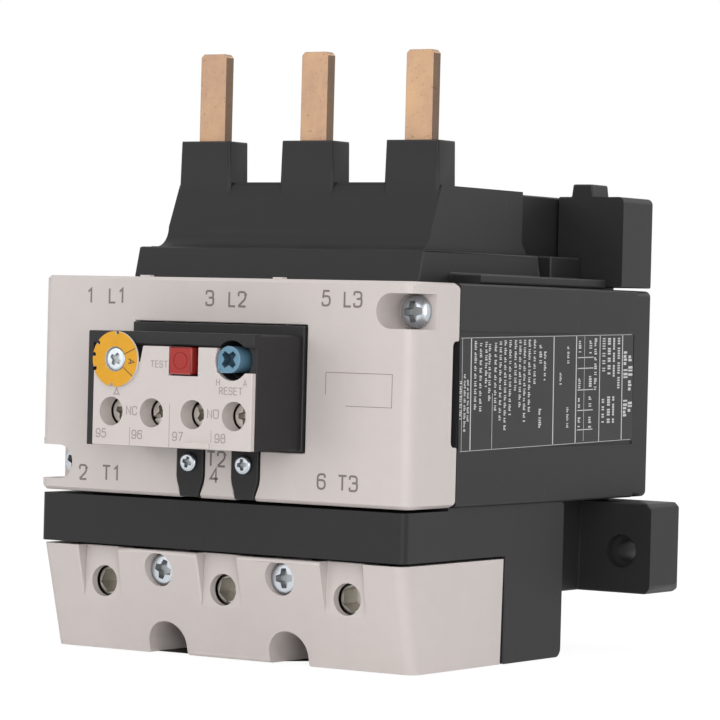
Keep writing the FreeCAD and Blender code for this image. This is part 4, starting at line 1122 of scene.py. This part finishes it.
# strokes of each glyph in its own height, and how far its corners are rounded
GLYPHS = {
    "1": (((0.1, 0.78), (0.36, 1), (0.36, 0)),),
    "2": (((0, 0.7), (0, 1), (0.6, 1), (0.6, 0.55), (0, 0.02)), ((0, 0), (0.62, 0))),
    "3": (((0, 0.76), (0, 1), (0.58, 1), (0.58, 0.53), (0.2, 0.53)),
          ((0.4, 0.53), (0.6, 0.53), (0.6, 0), (0, 0), (0, 0.24))),
    "4": (((0.46, 0), (0.46, 1), (0, 0.28), (0.64, 0.28)),),
    "5": (((0.56, 1), (0.1, 1), (0.03, 0.52)),
          ((0.03, 0.52), (0.1, 0.64), (0.6, 0.64), (0.6, 0), (0, 0), (0, 0.24))),
    "6": (((0.58, 0.76), (0.58, 1), (0, 1), (0, 0), (0.6, 0), (0.6, 0.6), (0.07, 0.6)),),
    "7": (((0, 1), (0.6, 1), (0.2, 0)),),
    "8": (((0.3, 0.54), (0.03, 0.54), (0.03, 1), (0.57, 1), (0.57, 0.54), (0.3, 0.54)),
          ((0.3, 0.54), (0, 0.54), (0, 0), (0.6, 0), (0.6, 0.54), (0.3, 0.54))),
    "9": (((0.02, 0.24), (0.02, 0), (0.6, 0), (0.6, 1), (0, 1), (0, 0.4), (0.53, 0.4)),),
    "A": (((0, 0), (0.33, 1), (0.66, 0)), ((0.12, 0.33), (0.54, 0.33))),
    "C": (((0.64, 0.7), (0.64, 1), (0, 1), (0, 0), (0.64, 0), (0.64, 0.3)),),
    "E": (((0.54, 1), (0, 1), (0, 0), (0.56, 0)), ((0, 0.53), (0.5, 0.53))),
    "H": (((0, 0), (0, 1)), ((0.6, 0), (0.6, 1)), ((0, 0.52), (0.6, 0.52))),
    "L": (((0, 1), (0, 0), (0.52, 0)),),
    "N": (((0, 0), (0, 1), (0.6, 0), (0.6, 1)),),
    "O": (((0.36, 1), (0, 1), (0, 0), (0.72, 0), (0.72, 1), (0.36, 1)),),
    "R": (((0, 0), (0, 1)), ((0, 1), (0.58, 1), (0.58, 0.5), (0, 0.5)), ((0.3, 0.5), (0.6, 0))),
    "S": (((0.58, 0.74), (0.58, 1), (0, 1), (0, 0.52), (0.6, 0.52), (0.6, 0), (0, 0), (0, 0.26)),),
    "T": (((0, 1), (0.66, 1)), ((0.33, 1), (0.33, 0))),
    "^": (((0, 0), (0.36, 0.66), (0.72, 0), (0, 0)),),
}
ROUND = "235689CORS"
GLYPH_GAP = 0.27


def ribbon(bm, points, half, front, rear):
    """A flat stripe along (x, z) points, between two depths."""
    closed = (points[0] - points[-1]).length < 1e-6
    if closed:
        points = points[:-1]
    count = len(points)
    rows = []
    for k, point in enumerate(points):
        ahead = points[(k + 1) % count] - point if closed or k + 1 < count else None
        behind = point - points[k - 1] if closed or k else ahead
        ahead = (ahead or behind).normalized()
        behind = behind.normalized()
        along = (ahead + behind).normalized()
        side = Vector((-along.y, along.x))
        side *= half / max(0.45, side.dot(Vector((-ahead.y, ahead.x))))
        rows.append([bm.verts.new((at_side.x, depth, at_side.y)) for at_side, depth in (
            (point + side, front), (point - side, front), (point - side, rear), (point + side, rear))])
    pairs = list(zip(rows, rows[1:]))
    if closed:
        pairs.append((rows[-1], rows[0]))
    else:
        bm.faces.new(rows[0])
        bm.faces.new(rows[-1])
    for low, high in pairs:
        for k in range(4):
            j = (k + 1) % 4
            bm.faces.new((low[k], low[j], high[j], high[k]))


def mark(text, place, height, sizes, body, slot, name, spin=0.0, weight=0.15, ink="ink"):
    """A printed mark of the given height, its middle at place on a face that looks to the front."""
    bm = bmesh.new()
    pen = 0.0
    for glyph in text:
        strokes = GLYPHS[glyph]
        for k, stroke in enumerate(strokes):
            points = [Vector((x + pen, z - 0.5, 0)) * height for x, z in stroke]
            if glyph in ROUND and len(points) > 3:
                points = eased(points, 0.3 * height, 4)
            ribbon(bm, [point.to_2d() for point in points], weight * height / 2,
                   -sizes.ink_thickness * (1 + 0.3 * k), 0.5 * sizes.ink_thickness)
        pen += max(x for stroke in strokes for x, z in stroke) + GLYPH_GAP
    bmesh.ops.recalc_face_normals(bm, faces=bm.faces)
    bm.transform(Matrix.Translation(place) @ Matrix.Rotation(math.radians(spin), 4, "Y")
                 @ Matrix.Translation((-(pen - GLYPH_GAP) / 2 * height, 0, 0)))
    return piece(name, to_mesh(bm, name), body, slot, (), (ink,))


class RELAY_OT_marks(RelayOperator, bpy.types.Operator):
    """Print the terminal numbers and the plain marks of the controls"""

    bl_idname = "relay.marks"
    bl_label = "Printed marks"
    # marks of the poles: text, x and z; of the controls: also the height
    poles = (("1", -35.0, 42.1), ("L1", -27.8, 42.2), ("3", -3.1, 42.1), ("L2", 4.0, 42.0), ("5", 26.3, 42.6),
             ("L3", 32.9, 42.5), ("2", -35.5, 4.1), ("T1", -28.3, 4.2), ("4", -0.85, 4.9), ("T2", -0.5, 8.4),
             ("6", 26.2, 4.9), ("T3", 32.7, 4.8))
    controls = (("95", -17.2, 13.5, 1.7), ("96", -7.9, 13.5, 1.7), ("97", 2.5, 13.5, 1.7),
                ("98", 13.2, 13.5, 1.7), ("NC", -9.4, 18.4, 1.7), ("NO", 11.3, 18.4, 1.7),
                ("TEST", -2.6, 28.2, 1.3), ("H", 12.4, 24.9, 1.3), ("A", 19.1, 24.9, 1.3),
                ("RESET", 15.6, 23.2, 1.4), ("^", -13.4, 22.6, 1.8))
    # dividers: x, lower and upper end
    dividers = ((-9.75, 11.2, 15.0), (0.35, 11.2, 20.2), (10.95, 12.5, 15.0))
    divider_width = 0.14
    # the empty frame: its corners, its line and the gaps in its lower and left lines
    frame_box = ((26.7, 20.6), (42.9, 27.4))
    frame_line = 0.12
    frame_gaps = (5, 2.2)
    plate_face = -18.0

    def build(self, sizes):
        front = at(0, 0, 0).y
        plate_front = at(0, self.plate_face, 0).y
        for text, x, z in self.poles:
            mark(text, self.on(x, front, z), sizes.pole_mark, sizes, STATIC, "grey_plastic",
                 f"mark_pole_{text}")
        for k, (text, x, z, height) in enumerate(self.controls, 1):
            mark(text, self.on(x, plate_front, z), height * MM, sizes, STATIC, "grey_plastic",
                 f"mark_control_{k}", weight=0.16, ink="pale_ink")
        self.lines("mark_dividers", [(x, (low + high) / 2, self.divider_width, high - low)
                                     for x, low, high in self.dividers], plate_front, sizes, "pale_ink")
        (left, low), (right, high) = self.frame_box
        across, up = self.frame_gaps
        line = self.frame_line
        self.lines("mark_setting_box", (
            ((left + right) / 2, high, right - left, line),
            ((left + right + across) / 2, low, right - left - across, line),
            (left, (high + low + up) / 2, line, high - low - up),
            (right, (high + low) / 2, line, high - low)), front, sizes, "ink")

    def on(self, x, depth, z):
        """A point of a face that looks to the front, at its depth in metres."""
        place = at(x, 0, z)
        place.y = depth
        return place

    def lines(self, name, runs, face, sizes, ink):
        """Printed lines from (x, z, width, height) in millimetres."""
        proud = sizes.ink_thickness
        bars(name, [(self.on(x, face - proud / 2, z), (wide * MM, proud, tall * MM), (0, 0, 0))
                    for x, z, wide, tall in runs], STATIC, "grey_plastic", ink)


class RELAY_OT_rating_label(RelayOperator, bpy.types.Operator):
    """Build the rating label's film, its ruled table and rows of plain dashes in place of text"""

    bl_idname = "relay.rating_label"
    bl_label = "Rating label"
    # rules: distance from the label's front end, lower and upper end as shares of the height, thickness
    rules = ((1.0, 0, 1, 0.14), (4.4, 0, 1, 0.36), (13.2, 0, 0.5, 0.16), (38.6, 0, 1, 0.36),
             (48.4, 0, 1, 0.36), (52.1, 0.02, 1, 0.14), (58.9, 0, 1, 0.3), (69.1, 0, 1, 0.36))
    # cross rules: shares of the height
    cross_rules = (0.79, 0.69, 0.49, 0.3, 0.12)
    # rows: distance from the front end, upper end and length as shares, height of a character
    rows = ((0.2, 0.62, 0.34, 0.8), (1.8, 0.68, 0.5, 0.8), (3.1, 0.63, 0.36, 0.8),
            (5.9, 0.97, 0.62, 0.95), (8.0, 0.95, 0.6, 0.95), (10.2, 0.96, 0.4, 0.95),
            (11.6, 0.94, 0.5, 0.95), (14.0, 0.95, 0.62, 0.95), (16.0, 0.96, 0.72, 0.95),
            (18.0, 0.97, 0.8, 0.95), (20.0, 0.97, 0.66, 0.95), (22.2, 0.97, 0.47, 0.95),
            (24.1, 0.97, 0.6, 0.95), (26.0, 0.97, 0.74, 0.95), (28.0, 0.97, 0.66, 0.95),
            (30.2, 0.97, 0.4, 0.95), (32.6, 0.92, 0.16, 1.1), (32.6, 0.34, 0.16, 1.1),
            (34.6, 0.86, 0.25, 1.0), (41.4, 0.66, 0.1, 0.9), (44.6, 0.9, 0.16, 0.9),
            (44.6, 0.34, 0.2, 0.9), (49.6, 0.95, 0.11, 1.1), (49.6, 0.6, 0.08, 1.1),
            (49.6, 0.42, 0.08, 1.1), (49.6, 0.24, 0.08, 1.1), (54.3, 0.95, 0.12, 1.2),
            (54.3, 0.62, 0.1, 1.2), (54.3, 0.43, 0.1, 1.2), (54.3, 0.24, 0.1, 1.2),
            (56.6, 0.97, 0.5, 1.1), (60.2, 0.97, 0.34, 1.3), (60.2, 0.4, 0.22, 1.3),
            (62.6, 0.97, 0.34, 1.3), (62.6, 0.42, 0.24, 1.3), (65.0, 0.97, 0.36, 1.3),
            (65.0, 0.42, 0.24, 1.3), (67.1, 0.97, 0.5, 1.3), (69.9, 0.84, 0.24, 1.9),
            (69.9, 0.38, 0.18, 1.9), (72.1, 0.8, 0.34, 1.9), (72.1, 0.36, 0.12, 1.9))
    # how the label is stuck on: its lean in degrees, and its shift
    lean = 1.16
    shift = (0.06 * MM, 0, -0.17 * MM)
    # dashes: their heights and widths, as shares of a character's height
    dash_heights = (1.0, 0.62, 1.0, 0.8)
    dash_widths = (0.3, 0.34, 0.2, 0.26)
    step = 0.42

    def build(self, sizes):
        low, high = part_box("side_label")
        centre = (low + high) / 2
        askew = (Matrix.Translation(centre + Vector(self.shift))
                 @ Matrix.Rotation(math.radians(self.lean), 4, "X") @ Matrix.Translation(-centre))
        shell("side_label", 0.05 * MM).data.transform(askew)
        tall = (high.z - low.z) / MM - 0.5
        strips = [(y, y + thick, start * tall, end * tall) for y, start, end, thick in self.rules]
        strips += [(49.3, 56.2, share * tall, share * tall + 0.2) for share in self.cross_rules]
        strips += [(0.6, 73.4, edge, edge + 0.1) for edge in (0, tall - 0.1)]
        for k, row in enumerate(self.rows):
            strips += self.dashes(k, *row, tall)
        bars("label_print", [
            (Vector((high.x, low.y + (y0 + y1) / 2 * MM, low.z + (0.25 + (z0 + z1) / 2) * MM)),
             (sizes.ink_thickness, (y1 - y0) * MM, (z1 - z0) * MM), (0, 0, 0))
            for y0, y1, z0, z1 in strips], STATIC, "label_film", "label_ink", askew)

    def dashes(self, k, y, top, length, height, tall):
        """The plain dashes of a row, in words of a few dashes each."""
        z = top * tall
        word = 3 + k % 4
        while z > (top - length) * tall:
            word -= 1
            if word:
                kind = int(z * 7.3 + k * 2.7) % 4
                yield y, y + self.dash_heights[kind] * height, z - self.dash_widths[kind] * height, z
            else:
                word = 3 + int(z * 3.1 + k * 1.7) % 5
            z -= self.step * height


class RELAY_OT_stage(RelayOperator, bpy.types.Operator):
    """Set the pale floor, the soft lamps and the camera"""

    bl_idname = "relay.stage"
    bl_label = "Stage"
    # the camera's place, its yaw, pitch and roll in degrees, and its lens
    eye = (424.895, -595.796, 38.355)
    angles = (33.204, 0.661, 1.444)
    lens = 174.43
    # lamps: offset from the middle, side and power
    lamps = (("key", (0.75, -0.8, 0.7), 0.8, 3.0), ("fill", (-0.7, -1.1, 0.35), 0.8, 2.8),
             ("top", (0.1, 0.1, 1.1), 0.8, 3.0), ("rim", (0.6, 0.9, 0.5), 0.6, 2.0),
             ("low", (0.62, -0.85, 0.0), 0.5, 5.2))
    sky = 0.5
    floor_glow = 1.08
    floor_share = 0.86

    def build(self, sizes):
        scene = bpy.context.scene
        self.floor()
        self.world(scene)
        centre = (CAD_BOX[0] + CAD_BOX[1]) / 2
        for name, offset, size, power in self.lamps:
            lamp = bpy.data.lights.new(name, "AREA")
            lamp.shape = "SQUARE"
            lamp.size = size
            lamp.energy = power
            obj = bpy.data.objects.new(name, lamp)
            scene.collection.objects.link(obj)
            obj.location = centre + Vector(offset)
            obj.rotation_euler = (-Vector(offset)).to_track_quat("-Z", "Y").to_euler()
        self.camera(scene)
        scene.view_settings.view_transform = "Standard"

    def seen_white(self, tree):
        """A factor that is one for the rays that show the background."""
        path = tree.nodes.new("ShaderNodeLightPath")
        total = path.outputs["Is Camera Ray"]
        for name in ("Is Glossy Ray", "Is Transmission Ray"):
            larger = tree.nodes.new("ShaderNodeMath")
            larger.operation = "MAXIMUM"
            tree.links.new(total, larger.inputs[0])
            tree.links.new(path.outputs[name], larger.inputs[1])
            total = larger.outputs[0]
        return total

    def mixed(self, tree, factor, plain, white, end):
        """Ends a tree with the plain surface, and with the white one where the factor says."""
        mix = tree.nodes.new("ShaderNodeMixShader")
        for output, socket in zip((factor, plain.outputs[0], white.outputs[0]), mix.inputs):
            tree.links.new(output, socket)
        tree.links.new(mix.outputs[0], tree.nodes[end].inputs["Surface"])

    def world(self, scene):
        scene.world = bpy.data.worlds.new("studio")
        scene.world.use_nodes = True
        tree = scene.world.node_tree
        plain = tree.nodes["Background"]
        white = tree.nodes.new("ShaderNodeBackground")
        for node, strength in ((plain, self.sky), (white, 1.0)):
            node.inputs["Color"].default_value = (1, 1, 1, 1)
            node.inputs["Strength"].default_value = strength
        self.mixed(tree, self.seen_white(tree), plain, white, "World Output")

    def floor(self):
        bm = bmesh.new()
        bmesh.ops.create_circle(bm, cap_ends=True, cap_tris=False, segments=64, radius=6.0)
        mesh = bpy.data.meshes.new("floor")
        bm.to_mesh(mesh)
        bm.free()
        mesh.transform(Matrix.Translation((0, 0, CAD_BOX[0].z - 0.0002)))
        obj = bpy.data.objects.new("floor", mesh)
        bpy.context.scene.collection.objects.link(obj)
        material = bpy.data.materials.new("paper")
        material.use_nodes = True
        tree = material.node_tree
        plain = tree.nodes["Principled BSDF"]
        plain.inputs["Base Color"].default_value = (0.9, 0.9, 0.9, 1)
        plain.inputs["Roughness"].default_value = 0.9
        glow = tree.nodes.new("ShaderNodeEmission")
        glow.inputs["Strength"].default_value = self.floor_glow
        share = tree.nodes.new("ShaderNodeMath")
        share.operation = "MULTIPLY"
        share.inputs[1].default_value = self.floor_share
        tree.links.new(self.seen_white(tree), share.inputs[0])
        self.mixed(tree, share.outputs[0], plain, glow, "Material Output")
        mesh.materials.append(material)

    def camera(self, scene):
        yaw, pitch, roll = (math.radians(angle) for angle in self.angles)
        ahead = Vector((-math.sin(yaw), math.cos(yaw), 0))
        right = Vector((math.cos(yaw), math.sin(yaw), 0))
        up = Vector((0, 0, 1))
        forward = ahead * math.cos(pitch) - up * math.sin(pitch)
        above = up * math.cos(pitch) + ahead * math.sin(pitch)
        across = right * math.cos(roll) + above * math.sin(roll)
        upright = above * math.cos(roll) - right * math.sin(roll)
        data = bpy.data.cameras.new("camera")
        data.lens = self.lens
        data.clip_start = 0.01
        data.clip_end = 50
        obj = bpy.data.objects.new("camera", data)
        scene.collection.objects.link(obj)
        turn = Matrix((across, upright, -forward)).transposed().to_4x4()
        obj.matrix_world = Matrix.Translation(at(*self.eye)) @ turn
        scene.camera = obj


class RELAY_PT_sidebar(bpy.types.Panel):
    """Lists the relay's operators, sizes and colours"""

    bl_label = "Thermal Overload Relay"
    bl_idname = "RELAY_PT_sidebar"
    bl_space_type = "VIEW_3D"
    bl_region_type = "UI"
    bl_category = "Relay"

    def draw(self, context):
        column = self.layout.column()
        for operator in OPERATORS:
            column.operator(operator.bl_idname)
        for settings in (context.scene.relay_sizes, context.scene.relay_colours):
            for name in settings.__annotations__:
                column.prop(settings, name)


OPERATORS = (
    RELAY_OT_finishes, RELAY_OT_covers, RELAY_OT_housings, RELAY_OT_auxiliary_module, RELAY_OT_bars,
    RELAY_OT_clamps, RELAY_OT_control_terminals, RELAY_OT_cover_screws, RELAY_OT_dial, RELAY_OT_buttons,
    RELAY_OT_mechanism, RELAY_OT_marks, RELAY_OT_rating_label, RELAY_OT_stage)
CLASSES = (RelaySizes, RelayColours, *OPERATORS, RELAY_PT_sidebar)


def register():
    for each in CLASSES:
        bpy.utils.register_class(each)
    bpy.types.Scene.relay_sizes = bpy.props.PointerProperty(type=RelaySizes)
    bpy.types.Scene.relay_colours = bpy.props.PointerProperty(type=RelayColours)


def unregister():
    del bpy.types.Scene.relay_colours
    del bpy.types.Scene.relay_sizes
    for each in reversed(CLASSES):
        bpy.utils.unregister_class(each)


def main():
    register()
    for operator in OPERATORS:
        group, name = operator.bl_idname.split(".")
        getattr(getattr(bpy.ops, group), name)()


if __name__ == "__main__":
    main()
